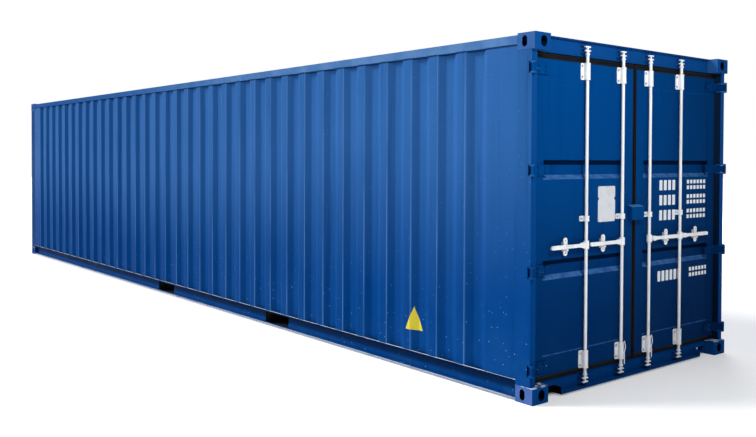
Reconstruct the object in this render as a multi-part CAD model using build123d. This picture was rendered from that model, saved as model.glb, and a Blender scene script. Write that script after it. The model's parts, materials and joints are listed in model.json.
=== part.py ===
from build123d import *
import math
import os

# Steel freight container, forty foot long, seen with its door end towards +X.
# Origin on the ground under the middle of the box, +X to the doors, +Y to the
# right-hand side for somebody who faces the doors, +Z up. Millimetres.

# Overall box
LENGTH = 12192.0
WIDTH = 2438.0
HEIGHT = 2591.0

# Corner fittings: cast boxes with one long aperture and two oval side holes
FITTING_L = 178.0
FITTING_W = 162.0
FITTING_H = 118.0
FITTING_CAP = 28.0
FITTING_WALL = 15.0
FITTING_ROUND = 8.0
APERTURE_L = 124.0
APERTURE_W = 63.5
APERTURE_INSET_X = 103.5
APERTURE_INSET_Y = 89.5
SIDE_HOLE_W = 51.0
END_HOLE_W = 63.5
HOLE_H = 79.0

# Clearances of the frame inside the envelope of the corner fittings
SIDE_INSET = 3.0
BASE_CLEARANCE = 12.5
ROOF_CLEARANCE = 6.0
RAIL_TOP_CLEARANCE = 12.0

# Rear corner posts: hollow section, open at each hinge
REAR_POST_INSET = 34.0
REAR_POST_WIDTH = 55.0
REAR_POST_WALL = 8.0

# Front corner posts
FRONT_POST_INSET = 6.0
FRONT_POST_WIDTH = 116.0
FRONT_POST_WALL = 6.0

# Side rails
TOP_RAIL = 64.0
TOP_RAIL_WALL = 4.0
BOTTOM_RAIL_TOP = 155.0
BOTTOM_RAIL_FLANGE = 48.0
BOTTOM_RAIL_T = 4.5

# Pressed side walls
SHEET = 2.0
WALL_INSET = 5.0
WAVE_PITCH = 332.0
WAVE_FLAT = 86.0
WAVE_SLOPE = 81.0
WAVE_DEPTH = 36.0
WALL_PLAIN_END = 244.0

# Pressed front end wall
END_WAVE_PITCH = 250.0
END_WAVE_FLAT = 110.0
END_WAVE_SLOPE = 18.0
END_WAVE_DEPTH = 45.0
END_WALL_PLAIN = 50.0

# Pressed roof
ROOF_WAVE_PITCH = 295.0
ROOF_WAVE_FLAT = 140.0
ROOF_WAVE_SLOPE = 14.0
ROOF_WAVE_DEPTH = 20.0
ROOF_PLAIN_END = 60.0
ROOF_LAP = 30.0

# Front frame
FRONT_BEAM_DEPTH = 80.0
FRONT_BEAM_WALL = 5.0

# Door header and sill
HEADER_FACE = 106.0
HEADER_DEPTH = 80.0
HEADER_WALL = 6.0
GUTTER_FORWARD = 72.0
SILL_FLANGE_FORWARD = 72.0
SILL_UPSTAND_BACK = 90.0
LIFT_NOTCH_W = 170.0
LIFT_NOTCH_TOP = 68.0

# Floor
FLOOR_T = 28.0
FLOOR_TOP = 167.0
FLOOR_SIDE_GAP = 5.0
CROSS_MEMBER_H = 122.0
CROSS_MEMBER_FLANGE = 45.0
CROSS_MEMBER_T = 4.0
CROSS_MEMBER_PITCH = 305.0
CROSS_MEMBER_END = 190.0

# Fork pockets, measured from the door end
POCKET_CENTRES = (3655.0, 6446.0)
POCKET_W = 470.0
POCKET_H = 102.0
POCKET_WALL = 6.0

# Door leaves
PIN_INSET = 15.0
LEAF_FRONT_INSET = 84.0
LEAF_DEPTH = 50.0
LEAF_HINGE_GAP = 20.0
LEAF_SEAM_HALF = 20.0
LEAF_BOTTOM_GAP = 36.0
LEAF_TOP_GAP = 42.0
STILE_W = 100.0
STILE_WALL = 3.2
RAIL_H = 150.0
RAIL_WALL = 4.0
PANEL_SHEET = 2.5
PANEL_SETBACK = 3.0
SWAGE_BASE_RISE = 914.0
SWAGE_TOP_DROP = 957.0
SWAGE_OPENING = 136.0
SWAGE_SLOPE = 30.0
SWAGE_DEPTH = 34.0

# Door gaskets
GASKET_FRONT = 2.0
GASKET_T = 20.0
GASKET_FRAME_GAP = 5.0
GASKET_SEAM_HALF = 5.0
GASKET_UPRIGHT_GAP = 6.0

# Hinges
HINGE_BASE_RISES = (232.0, 920.0)
HINGE_TOP_DROPS = (959.0, 243.0)
HINGE_SPAN = 82.0
LUG_T = 12.0
KNUCKLE_R = 14.0
PIN_R = 9.0
PIN_CLEARANCE = 0.5
PIN_HEAD = 4.0
BLADE_END_GAP = 1.0
BLADE_T = 12.0
BLADE_REACH = 204.0
BLADE_FLARE = 10.0
HINGE_SWEEP_GAP = 6.0
SIDE_SLOT_DEPTH = 30.0

# Locking bars, cams and keepers; the bars stand at shares of the width
BAR_R = 17.0
BAR_SETBACK = 60.0
BAR_SHARES = (0.2461, 0.07178)
CAM_TOP_DROP = 62.0
CAM_BOTTOM_RISE = 65.0
BAR_END_BEYOND_CAM = 22.0
CAM_T = 20.0
CAM_REACH = 34.0
CAM_ARM_W = 22.0
COLLAR_OFFSET = 36.0
COLLAR_H = 10.0
COLLAR_R = 22.0
KEEPER_W = 70.0
KEEPER_DEPTH = 23.0
KEEPER_GAP = 40.0
KEEPER_EAR_T = 8.0

# Bar brackets on the leaves
BRACKET_BASE_RISE = 221.0
BRACKET_MID_Z = 1270.0
BRACKET_TOP_DROP = 230.0
BRACKET_TALL = (130.0, 40.0, 124.0)
BRACKET_WALL = 4.0
BRACKET_COLLAR = 1.5
BRACKET_COLLAR_H = 9.0
BRACKET_RUN = 0.5
BRACKET_FOOT_W = 52.0
BRACKET_FOOT_T = 6.0

# Handles and their catches
HANDLE_Z = 1075.0
HANDLE_BAR_GAP = 10.0
HANDLE_ROOT_R = 20.0
HANDLE_TIP_R = 15.0
HANDLE_NECK_H = 26.0
HANDLE_NECK_START = 42.0
HANDLE_GRIP_LENGTH = 124.0
HANDLE_GRIP_SHOULDER = 14.0
HANDLE_T = 12.0
HANDLE_RIB_H = 8.0
HANDLE_RIB_T = 2.5
HANDLE_FRONT_GAP = 5.0
HUB_R = 22.0
HUB_H = 60.0
HUB_LUG_T = 10.0
HUB_PIVOT_OFFSET = 48.0
HUB_PIN_R = 7.0
CATCH_OFFSET = 180.0
CATCH_W = 42.0
CATCH_H = 132.0
CATCH_PLATE_T = 6.0
CATCH_FOOT_W = 28.0
CATCH_FOOT_H = 70.0
CATCH_DEPTH = 25.0
CATCH_HOLE_R = 6.0
CATCH_HOLE_RISE = 46.0
CATCH_REST_W = 20.0
CATCH_REST_H = 11.0
CATCH_REST_GAP = 6.0

# Lock box over the seam
LOCK_BOX_Z = 1294.0
LOCK_BOX_H = 118.0
LOCK_BOX_HALF_W = 76.0
LOCK_BOX_SEAM_HALF = 6.0
LOCK_BOX_FRONT_INSET = 38.0
LOCK_BOX_WALL = 5.0

# Places worked out from the sizes above
HALF_L = LENGTH / 2
HALF_W = WIDTH / 2
FITTING_X = HALF_L - FITTING_L
FITTING_Y = HALF_W - FITTING_W
FITTING_UNDER_TOP = HEIGHT - FITTING_H
SIDE_Y = HALF_W - SIDE_INSET
REAR_POST_FRONT = HALF_L - REAR_POST_INSET
POST_INNER_Y = SIDE_Y - REAR_POST_WIDTH
WALL_Y = HALF_W - WALL_INSET
TOP_RAIL_UPPER = HEIGHT - RAIL_TOP_CLEARANCE
TOP_RAIL_LOWER = TOP_RAIL_UPPER - TOP_RAIL
RAIL_WEB_Y = SIDE_Y - BOTTOM_RAIL_FLANGE
ROOF_TOP = HEIGHT - ROOF_CLEARANCE
HEADER_FRONT = HALF_L - HEADER_FACE
PIN_X = HALF_L - PIN_INSET
PIN_Y = HALF_W - PIN_INSET
LEAF_FRONT = HALF_L - LEAF_FRONT_INSET
LEAF_BACK = LEAF_FRONT - LEAF_DEPTH
PANEL_FRONT = LEAF_FRONT - PANEL_SETBACK
LEAF_OUTER_Y = POST_INNER_Y - LEAF_HINGE_GAP
LEAF_BOTTOM = FITTING_H + LEAF_BOTTOM_GAP
LEAF_TOP = FITTING_UNDER_TOP - LEAF_TOP_GAP
BAR_X = HALF_L - BAR_SETBACK
CAM_TOP_Z = HEIGHT - CAM_TOP_DROP
CAM_HEIGHTS = (CAM_BOTTOM_RISE, CAM_TOP_Z)
OUTER_BAR_Y, INNER_BAR_Y = (WIDTH * share for share in BAR_SHARES)
HANDLE_SPACE = OUTER_BAR_Y - INNER_BAR_Y - HUB_PIVOT_OFFSET - HUB_R
HANDLE_LENGTH = HANDLE_SPACE - HANDLE_TIP_R - HANDLE_BAR_GAP
LOCK_BOX_FRONT = HALF_L - LOCK_BOX_FRONT_INSET
FLOOR_UNDER = FLOOR_TOP - FLOOR_T
HANDLE_FRONT = LOCK_BOX_FRONT - 3 * BRACKET_RUN
HANDLE_BACK = HANDLE_FRONT - HANDLE_T
POCKET_XS = tuple(HALF_L - c for c in POCKET_CENTRES)
HINGE_HEIGHTS = HINGE_BASE_RISES + tuple(HEIGHT - drop for drop in HINGE_TOP_DROPS)
SWAGE_CENTRES = (SWAGE_BASE_RISE, HEIGHT - SWAGE_TOP_DROP)
BRACKET_HEIGHTS = (BRACKET_BASE_RISE, BRACKET_MID_Z, HEIGHT - BRACKET_TOP_DROP)
CATCH_FACE = LEAF_FRONT + CATCH_DEPTH - CATCH_PLATE_T

os.makedirs("parts", exist_ok=True)


def block(x0, x1, y0, y1, z0, z1):
    """Axis-aligned block between two corners."""
    size = (abs(x1 - x0), abs(y1 - y0), abs(z1 - z0))
    middle = ((x0 + x1) / 2, (y0 + y1) / 2, (z0 + z1) / 2)
    return Pos(*middle) * Box(*size)


def rod(x, y, z0, z1, radius):
    """Upright round rod."""
    return Pos(x, y, (z0 + z1) / 2) * Cylinder(radius, z1 - z0)


def prism(points, z0, z1):
    """Upright prism on an outline given in X and Y."""
    face = make_face(Polyline(*points, close=True))
    return Pos(0, 0, z0) * extrude(face, z1 - z0, dir=(0, 0, 1))


def beam(points, y0, y1):
    """Beam along Y on a section given in X and Z."""
    outline = [(x, y0, z) for x, z in points]
    face = make_face(Polyline(*outline, close=True))
    return extrude(face, y1 - y0, dir=(0, 1, 0))


def right_hand(shape):
    """The same piece on the right-hand side of the container."""
    return mirror(shape, about=Plane.XZ)


def write(node, *solids):
    """Store the solids of one node."""
    found = [s for shape in solids for s in shape.solids()]
    body = found[0] if len(found) == 1 else Compound(children=found)
    export_step(body, f"parts/{node}.step")


def wave_line(start, end, pitch, flat, slope, depth, plain):
    """Points along a pressed sheet: distance along it, and depth below its outer flats."""
    span = end - start - 2 * plain
    recess = pitch - flat - 2 * slope
    count = int((span + flat) // pitch)
    first = start + plain + (span - (count * pitch - flat)) / 2
    points = [(start, 0.0)]
    for n in range(count):
        left = first + n * pitch
        points.append((left, 0.0))
        points.append((left + slope, depth))
        points.append((left + slope + recess, depth))
        points.append((left + 2 * slope + recess, 0.0))
    points.append((end, 0.0))
    return points


# Corner fittings
def fitting(sign_x, sign_y, top):
    """One cast fitting at the corner that the signs name."""
    z0 = HEIGHT - FITTING_H if top else 0.0
    outer = block(HALF_L, FITTING_X, HALF_W, FITTING_Y, z0, z0 + FITTING_H)
    outer = fillet(outer.edges().filter_by(Axis.Z), FITTING_ROUND)
    cap_low = FITTING_WALL if top else FITTING_CAP
    cap_high = FITTING_CAP if top else FITTING_WALL
    cavity = block(
        FITTING_X + FITTING_WALL,
        HALF_L - FITTING_WALL,
        FITTING_Y + FITTING_WALL,
        HALF_W - FITTING_WALL,
        z0 + cap_low,
        z0 + FITTING_H - cap_high,
    )
    px = HALF_L - APERTURE_INSET_X
    py = HALF_W - APERTURE_INSET_Y
    aperture_z = z0 + FITTING_H - FITTING_CAP if top else z0
    aperture = Pos(px, py, aperture_z) * extrude(
        SlotOverall(APERTURE_L, APERTURE_W), FITTING_CAP
    )
    middle = z0 + FITTING_H / 2
    side_plane = Plane(origin=(px, HALF_W - FITTING_WALL, middle), x_dir=(0, 0, 1), z_dir=(0, 1, 0))
    side_hole = extrude(side_plane * SlotOverall(HOLE_H, SIDE_HOLE_W), FITTING_WALL)
    end_plane = Plane(origin=(HALF_L - FITTING_WALL, py, middle), x_dir=(0, 0, 1), z_dir=(1, 0, 0))
    end_hole = extrude(end_plane * SlotOverall(HOLE_H, END_HOLE_W), FITTING_WALL)
    casting = outer - cavity - aperture - side_hole - end_hole
    if sign_x < 0:
        casting = mirror(casting, about=Plane.YZ)
    if sign_y < 0:
        casting = mirror(casting, about=Plane.XZ)
    return casting


CORNERS = [(sx, sy) for sx in (1, -1) for sy in (1, -1)]
write("corner_fittings_top", *[fitting(sx, sy, True) for sx, sy in CORNERS])
write("corner_fittings_bottom", *[fitting(sx, sy, False) for sx, sy in CORNERS])


# Rear corner posts
def tube_section(x0, x1, y0, y1, z0, z1, wall):
    """Upright rectangular tube."""
    inner = block(x0 + wall, x1 - wall, y0 + wall, y1 - wall, z0, z1)
    return block(x0, x1, y0, y1, z0, z1) - inner


hinge_reach = math.hypot(PIN_X - LEAF_FRONT, KNUCKLE_R) + HINGE_SWEEP_GAP
HINGE_WINDOW_X = PIN_X - hinge_reach
SIDE_SLOT_X = REAR_POST_FRONT - SIDE_SLOT_DEPTH


def rear_post_left():
    post = tube_section(
        FITTING_X, REAR_POST_FRONT, -SIDE_Y, -POST_INNER_Y,
        FITTING_H, FITTING_UNDER_TOP, REAR_POST_WALL,
    )
    inner_skin = -SIDE_Y + REAR_POST_WALL
    for z in HINGE_HEIGHTS:
        low = z - HINGE_SPAN / 2
        high = z + HINGE_SPAN / 2
        post -= block(HINGE_WINDOW_X, REAR_POST_FRONT, inner_skin, -POST_INNER_Y, low, high)
        post -= block(SIDE_SLOT_X, REAR_POST_FRONT, -SIDE_Y, inner_skin, low, high)
    return post


def hinge_lugs_left():
    lugs = []
    inner_skin = -SIDE_Y + REAR_POST_WALL
    throat = -POST_INNER_Y - REAR_POST_WALL
    outline = [
        (HINGE_WINDOW_X, inner_skin),
        (HINGE_WINDOW_X, throat),
        (REAR_POST_FRONT - REAR_POST_WALL, throat),
        (PIN_X + KNUCKLE_R * 0.6, -PIN_Y + KNUCKLE_R * 0.8),
        (PIN_X - KNUCKLE_R * 0.4, -PIN_Y - KNUCKLE_R * 0.9),
        (SIDE_SLOT_X, inner_skin),
    ]
    for z in HINGE_HEIGHTS:
        low = z - HINGE_SPAN / 2
        high = z + HINGE_SPAN / 2
        lug = prism(outline, low, low + LUG_T) + rod(PIN_X, -PIN_Y, low, low + LUG_T, KNUCKLE_R)
        lug += prism(outline, high - LUG_T, high) + rod(PIN_X, -PIN_Y, high - LUG_T, high, KNUCKLE_R)
        lug += rod(PIN_X, -PIN_Y, low - PIN_HEAD, high + PIN_HEAD, PIN_R)
        lugs.append(lug)
    return Compound(children=[s for lug in lugs for s in lug.solids()])


post = rear_post_left()
write("rear_corner_post_left", post)
write("rear_corner_post_right", right_hand(post))
lugs = hinge_lugs_left()
write("hinge_lugs_left", lugs)
write("hinge_lugs_right", right_hand(lugs))

# Front corner posts
front_post = tube_section(
    -HALF_L + FRONT_POST_INSET, -FITTING_X, -SIDE_Y, -SIDE_Y + FRONT_POST_WIDTH,
    FITTING_H, FITTING_UNDER_TOP, FRONT_POST_WALL,
)
write("front_corner_post_left", front_post)
write("front_corner_post_right", right_hand(front_post))


# Door header: box beam with a gutter plate that shades the locking gear
def door_header():
    back = HEADER_FRONT - HEADER_DEPTH
    low = FITTING_UNDER_TOP
    outer = [
        (back, low), (HEADER_FRONT, low), (HEADER_FRONT, ROOF_TOP - HEADER_WALL),
        (HEADER_FRONT + GUTTER_FORWARD, ROOF_TOP - HEADER_WALL),
        (HEADER_FRONT + GUTTER_FORWARD, ROOF_TOP), (back, ROOF_TOP),
    ]
    hollow = block(
        back + HEADER_WALL, HEADER_FRONT - HEADER_WALL, -FITTING_Y, FITTING_Y,
        low + HEADER_WALL, ROOF_TOP - HEADER_WALL,
    )
    return beam(outer, -FITTING_Y, FITTING_Y) - hollow


write("door_header", door_header())

# Door sill: hollow under a cover plate, foot flange forward, upstand behind it to the floor
SILL_BACK = HEADER_FRONT - SILL_UPSTAND_BACK


def door_sill():
    """Welded plates; the web and the foot flange stop at the lifting notches, whose ends
    are closed by plates."""
    t = HEADER_WALL
    low = BASE_CLEARANCE
    back = SILL_BACK + t
    web = HEADER_FRONT - t
    front = HEADER_FRONT + SILL_FLANGE_FORWARD
    end = FITTING_Y
    notch = FITTING_Y - LIFT_NOTCH_W
    plates = [
        block(SILL_BACK, back, -end, end, low, FLOOR_TOP),
        block(back, web, -end, end, FITTING_H - t, FITTING_H),
        block(web, HEADER_FRONT, -notch, notch, low, FITTING_H),
        block(HEADER_FRONT, front, -notch, notch, low, low + t),
    ]
    for side in (-1, 1):
        outer, inner = side * notch, side * (notch - t)
        plates += [
            block(web, HEADER_FRONT, side * end, outer, LIFT_NOTCH_TOP, FITTING_H),
            block(back, web, outer, inner, low, LIFT_NOTCH_TOP),
            block(HEADER_FRONT, front, outer, inner, low + t, LIFT_NOTCH_TOP),
        ]
    return plates


write("door_sill", *door_sill())

# Front frame
front_outer = -HALF_L + FRONT_POST_INSET
front_inner = front_outer + FRONT_BEAM_DEPTH


def front_beam(z0, z1):
    t = FRONT_BEAM_WALL
    hollow = block(front_outer + t, front_inner - t, -FITTING_Y, FITTING_Y, z0 + t, z1 - t)
    return block(front_outer, front_inner, -FITTING_Y, FITTING_Y, z0, z1) - hollow


write("front_header", front_beam(FITTING_UNDER_TOP, ROOF_TOP))
write("front_sill", front_beam(BASE_CLEARANCE, FITTING_H))


# Side rails
def top_rail_left():
    t = TOP_RAIL_WALL
    inner_y = -SIDE_Y + TOP_RAIL
    rail = block(-FITTING_X, FITTING_X, -SIDE_Y, inner_y, TOP_RAIL_LOWER, TOP_RAIL_UPPER)
    hollow = block(
        -FITTING_X, FITTING_X, -SIDE_Y + t, inner_y - t, TOP_RAIL_LOWER + t, TOP_RAIL_UPPER - t
    )
    return rail - hollow


def bottom_rail_left():
    """Channel of welded plates, its web cut away at the fork pockets."""
    t = BOTTOM_RAIL_T
    low = BASE_CLEARANCE
    high = BOTTOM_RAIL_TOP
    over = low + t + POCKET_H
    plates = [
        block(-FITTING_X, FITTING_X, -SIDE_Y, -RAIL_WEB_Y, high - t, high),
        block(-FITTING_X, FITTING_X, -SIDE_Y, -RAIL_WEB_Y, low, low + t),
        block(-FITTING_X, FITTING_X, -RAIL_WEB_Y - t, -RAIL_WEB_Y, over, high - t),
    ]
    stops = [-FITTING_X]
    for x in sorted(POCKET_XS):
        stops += [x - POCKET_W / 2, x + POCKET_W / 2]
    stops.append(FITTING_X)
    for start, end in zip(stops[::2], stops[1::2]):
        plates.append(block(start, end, -RAIL_WEB_Y - t, -RAIL_WEB_Y, low + t, over))
    return plates


top_rail = top_rail_left()
write("top_side_rail_left", top_rail)
write("top_side_rail_right", right_hand(top_rail))
bottom_rail = bottom_rail_left()
write("bottom_side_rail_left", *bottom_rail)
write("bottom_side_rail_right", *[right_hand(plate) for plate in bottom_rail])


# Pressed sheets
def side_wall_left():
    line = wave_line(
        -FITTING_X, FITTING_X, WAVE_PITCH, WAVE_FLAT, WAVE_SLOPE, WAVE_DEPTH, WALL_PLAIN_END
    )
    outside = [(x, -WALL_Y + d) for x, d in line]
    inside = [(x, y + SHEET) for x, y in reversed(outside)]
    return prism(outside + inside, BOTTOM_RAIL_TOP, TOP_RAIL_LOWER)


def front_wall():
    edge = SIDE_Y - FRONT_POST_WIDTH
    line = wave_line(
        -edge, edge, END_WAVE_PITCH, END_WAVE_FLAT, END_WAVE_SLOPE, END_WAVE_DEPTH, END_WALL_PLAIN
    )
    outside = [(front_outer + d, y) for y, d in line]
    inside = [(x + SHEET, y) for x, y in reversed(outside)]
    return prism(outside + inside, FITTING_H, FITTING_UNDER_TOP)


def roof_sheet():
    start = front_inner
    end = HEADER_FRONT - HEADER_DEPTH
    line = wave_line(
        start, end, ROOF_WAVE_PITCH, ROOF_WAVE_FLAT, ROOF_WAVE_SLOPE, ROOF_WAVE_DEPTH, ROOF_PLAIN_END
    )
    edge = SIDE_Y - TOP_RAIL
    top = TOP_RAIL_UPPER + SHEET
    outside = [(x, top - d) for x, d in line]
    inside = [(x, z - SHEET) for x, z in reversed(outside)]
    sheet = beam(outside + inside, -edge, edge)
    sheet += block(start, end, -edge - ROOF_LAP, -edge, TOP_RAIL_UPPER, top)
    sheet += block(start, end, edge, edge + ROOF_LAP, TOP_RAIL_UPPER, top)
    for side in (-1, 1):
        sheet -= block(-HALF_L, -FITTING_X, side * FITTING_Y, side * HALF_W, 0, HEIGHT)
    return sheet


wall = side_wall_left()
write("side_wall_left", wall)
write("side_wall_right", right_hand(wall))
write("front_end_wall", front_wall())
write("roof_panel", roof_sheet())

# Floor and the members under it
def floor_boards():
    """Floor from the front sill to the door sill, notched round the front posts."""
    edge = RAIL_WEB_Y - FLOOR_SIDE_GAP
    boards = block(front_inner, SILL_BACK, -edge, edge, FLOOR_UNDER, FLOOR_TOP)
    for side in (-1, 1):
        boards -= block(
            front_inner, -FITTING_X + FLOOR_SIDE_GAP,
            side * (SIDE_Y - FRONT_POST_WIDTH - FLOOR_SIDE_GAP), side * edge, FLOOR_UNDER, FLOOR_TOP,
        )
    return boards


write("floor_boards", floor_boards())


def cross_members():
    t = CROSS_MEMBER_T
    low = FLOOR_UNDER - CROSS_MEMBER_H
    first = front_inner + CROSS_MEMBER_END
    last = SILL_BACK - CROSS_MEMBER_END
    count = int((last - first) // CROSS_MEMBER_PITCH)
    step = (last - first) / count
    members = []
    for n in range(count + 1):
        x = first + n * step
        clear = POCKET_W / 2 + POCKET_WALL + CROSS_MEMBER_FLANGE
        if any(abs(x - p) < clear for p in POCKET_XS):
            continue
        section = [
            (x, low), (x + CROSS_MEMBER_FLANGE, low), (x + CROSS_MEMBER_FLANGE, low + t),
            (x + t, low + t), (x + t, FLOOR_UNDER - t), (x + CROSS_MEMBER_FLANGE, FLOOR_UNDER - t),
            (x + CROSS_MEMBER_FLANGE, FLOOR_UNDER), (x, FLOOR_UNDER),
        ]
        members.append(beam(section, -RAIL_WEB_Y, RAIL_WEB_Y))
    return members


write("cross_members", *cross_members())


def fork_pocket(x):
    """Two upright linings and a top plate, from rail to rail."""
    half = POCKET_W / 2
    low = BASE_CLEARANCE + BOTTOM_RAIL_T
    top = low + POCKET_H
    return [
        block(x - half - POCKET_WALL, x - half, -RAIL_WEB_Y, RAIL_WEB_Y, low, FLOOR_UNDER),
        block(x + half, x + half + POCKET_WALL, -RAIL_WEB_Y, RAIL_WEB_Y, low, FLOOR_UNDER),
        block(x - half, x + half, -RAIL_WEB_Y, RAIL_WEB_Y, top, top + POCKET_WALL),
    ]


write("fork_pockets", *[plate for x in POCKET_XS for plate in fork_pocket(x)])

# Door leaves: left-hand leaf, and the right-hand one as its mirror image
BAR_YS = (-OUTER_BAR_Y, -INNER_BAR_Y)


def leaf_frame():
    outer = -LEAF_OUTER_Y
    seam = -LEAF_SEAM_HALF
    t = STILE_WALL
    frame = tube_section(LEAF_BACK, LEAF_FRONT, outer, outer + STILE_W, LEAF_BOTTOM, LEAF_TOP, t)
    frame += tube_section(LEAF_BACK, LEAF_FRONT, seam - STILE_W, seam, LEAF_BOTTOM, LEAF_TOP, t)
    for z0, z1 in ((LEAF_BOTTOM, LEAF_BOTTOM + RAIL_H), (LEAF_TOP - RAIL_H, LEAF_TOP)):
        web = LEAF_FRONT - RAIL_WALL
        section = [
            (LEAF_BACK, z0), (LEAF_FRONT, z0), (LEAF_FRONT, z1), (LEAF_BACK, z1),
            (LEAF_BACK, z1 - RAIL_WALL), (web, z1 - RAIL_WALL),
            (web, z0 + RAIL_WALL), (LEAF_BACK, z0 + RAIL_WALL),
        ]
        frame += beam(section, outer + STILE_W, seam - STILE_W)
    return frame


def leaf_panel():
    front = PANEL_FRONT
    low = LEAF_BOTTOM + RAIL_H
    high = LEAF_TOP - RAIL_H
    line = [(front, low)]
    for z in SWAGE_CENTRES:
        line.append((front, z - SWAGE_OPENING / 2))
        line.append((front - SWAGE_DEPTH, z - SWAGE_OPENING / 2 + SWAGE_SLOPE))
        line.append((front - SWAGE_DEPTH, z + SWAGE_OPENING / 2 - SWAGE_SLOPE))
        line.append((front, z + SWAGE_OPENING / 2))
    line.append((front, high))
    back = [(x - PANEL_SHEET, z) for x, z in reversed(line)]
    return beam(line + back, -LEAF_OUTER_Y + STILE_W, -LEAF_SEAM_HALF - STILE_W)


def leaf_gasket():
    front = LEAF_FRONT - GASKET_FRONT
    outer = -POST_INNER_Y + GASKET_FRAME_GAP
    low = FITTING_H + GASKET_UPRIGHT_GAP
    high = FITTING_UNDER_TOP - GASKET_UPRIGHT_GAP
    ring = block(front - GASKET_T, front, outer, -GASKET_SEAM_HALF, low, high)
    return ring - block(
        front - GASKET_T, front, -LEAF_OUTER_Y, -LEAF_SEAM_HALF, LEAF_BOTTOM, LEAF_TOP
    )


def hinge_blades():
    blades = []
    root_y = -PIN_Y
    end_y = -PIN_Y + BLADE_REACH
    front = LEAF_FRONT + BLADE_T
    flare_y = -LEAF_OUTER_Y
    crank = [
        (LEAF_FRONT, flare_y),
        (LEAF_FRONT, root_y + KNUCKLE_R),
        (PIN_X - KNUCKLE_R * 0.8, root_y - KNUCKLE_R * 0.6),
        (PIN_X - KNUCKLE_R * 0.4, root_y + KNUCKLE_R * 0.9),
        (front, root_y + 2 * KNUCKLE_R),
        (front, flare_y),
    ]
    for z in HINGE_HEIGHTS:
        half = HINGE_SPAN / 2 - LUG_T - BLADE_END_GAP
        blade = prism(crank, z - half, z + half) + rod(PIN_X, root_y, z - half, z + half, KNUCKLE_R)
        outline = [
            (LEAF_FRONT, flare_y, z - half), (LEAF_FRONT, flare_y, z + half),
            (LEAF_FRONT, flare_y + BLADE_FLARE, z + half + BLADE_FLARE),
            (LEAF_FRONT, end_y, z + half + BLADE_FLARE), (LEAF_FRONT, end_y, z - half - BLADE_FLARE),
            (LEAF_FRONT, flare_y + BLADE_FLARE, z - half - BLADE_FLARE),
        ]
        plate = extrude(make_face(Polyline(*outline, close=True)), BLADE_T, dir=(1, 0, 0))
        blade += plate
        blade -= rod(PIN_X, root_y, z - half, z + half, PIN_R + PIN_CLEARANCE)
        blades.append(blade)
    return Compound(children=[s for blade in blades for s in blade.solids()])


def bar_brackets(side):
    """Sleeves that carry the two bars of a leaf. Their feet all point to the left-hand
    side of the container, so the two leaves carry the same casting."""
    solids = []
    bore = BAR_R + BRACKET_RUN
    outer = bore + BRACKET_WALL
    seats = (LEAF_FRONT, PANEL_FRONT, LEAF_FRONT)
    for y in (side * OUTER_BAR_Y, side * INNER_BAR_Y):
        for z, tall, seat in zip(BRACKET_HEIGHTS, BRACKET_TALL, seats):
            low = z - tall / 2
            high = z + tall / 2
            foot = block(
                seat, LEAF_FRONT + BRACKET_FOOT_T,
                y - BRACKET_FOOT_W, y + outer, low, high,
            )
            foot = fillet(foot.edges().filter_by(Axis.X), outer / 2)
            sleeve = foot + rod(BAR_X, y, low, high, outer)
            for end in (low, high - BRACKET_COLLAR_H):
                sleeve += rod(BAR_X, y, end, end + BRACKET_COLLAR_H, outer + BRACKET_COLLAR)
            sleeve -= rod(BAR_X, y, low, high, bore)
            solids.append(sleeve)
    return Compound(children=[s for sleeve in solids for s in sleeve.solids()])


def handle_catches():
    """Round-ended plates that stand off the leaf behind the handles, each pierced
    above and below and with a rest under its handle."""
    solids = []
    face_plane = Plane(origin=(CATCH_FACE, 0, 0), x_dir=(0, 1, 0), z_dir=(1, 0, 0))
    under_handle = HANDLE_Z - HANDLE_NECK_H / 2 - CATCH_REST_GAP
    for y in BAR_YS:
        mid = y - HUB_PIVOT_OFFSET - CATCH_OFFSET
        outline = Pos(mid, HANDLE_Z) * SlotOverall(CATCH_H, CATCH_W, rotation=90)
        for side in (-1, 1):
            outline -= Pos(mid, HANDLE_Z + side * CATCH_HOLE_RISE) * Circle(CATCH_HOLE_R)
        catch = extrude(face_plane * outline, CATCH_PLATE_T)
        catch += block(
            PANEL_FRONT, CATCH_FACE, mid - CATCH_FOOT_W / 2, mid + CATCH_FOOT_W / 2,
            HANDLE_Z - CATCH_FOOT_H / 2, HANDLE_Z + CATCH_FOOT_H / 2,
        )
        catch += block(
            CATCH_FACE + CATCH_PLATE_T, HANDLE_FRONT, mid - CATCH_REST_W / 2, mid + CATCH_REST_W / 2,
            under_handle - CATCH_REST_H, under_handle,
        )
        solids.append(catch)
    return Compound(children=[s for catch in solids for s in catch.solids()])


def lock_box_half():
    """Half of the hood over the padlock, open to the seam and below."""
    t = LOCK_BOX_WALL
    low = LOCK_BOX_Z - LOCK_BOX_H / 2
    high = LOCK_BOX_Z + LOCK_BOX_H / 2
    outer = block(LEAF_FRONT, LOCK_BOX_FRONT, -LOCK_BOX_HALF_W, -LOCK_BOX_SEAM_HALF, low, high)
    hollow = block(
        LEAF_FRONT, LOCK_BOX_FRONT - t, -LOCK_BOX_HALF_W + t, -LOCK_BOX_SEAM_HALF, low, high - t
    )
    return outer - hollow


frame = leaf_frame()
panel = leaf_panel()
gasket = leaf_gasket()
blades = hinge_blades()
catches = handle_catches()
hood = lock_box_half()
LEAF_NODES = {
    "frame": frame,
    "panel": panel,
    "gasket": gasket,
    "hinge_blades": blades,
    "handle_catches": catches,
    "lock_box": hood,
}
for name, shape in LEAF_NODES.items():
    write(f"left_door_{name}", shape)
    write(f"right_door_{name}", right_hand(shape))
write("left_door_bar_brackets", bar_brackets(-1))
write("right_door_bar_brackets", bar_brackets(1))


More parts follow.
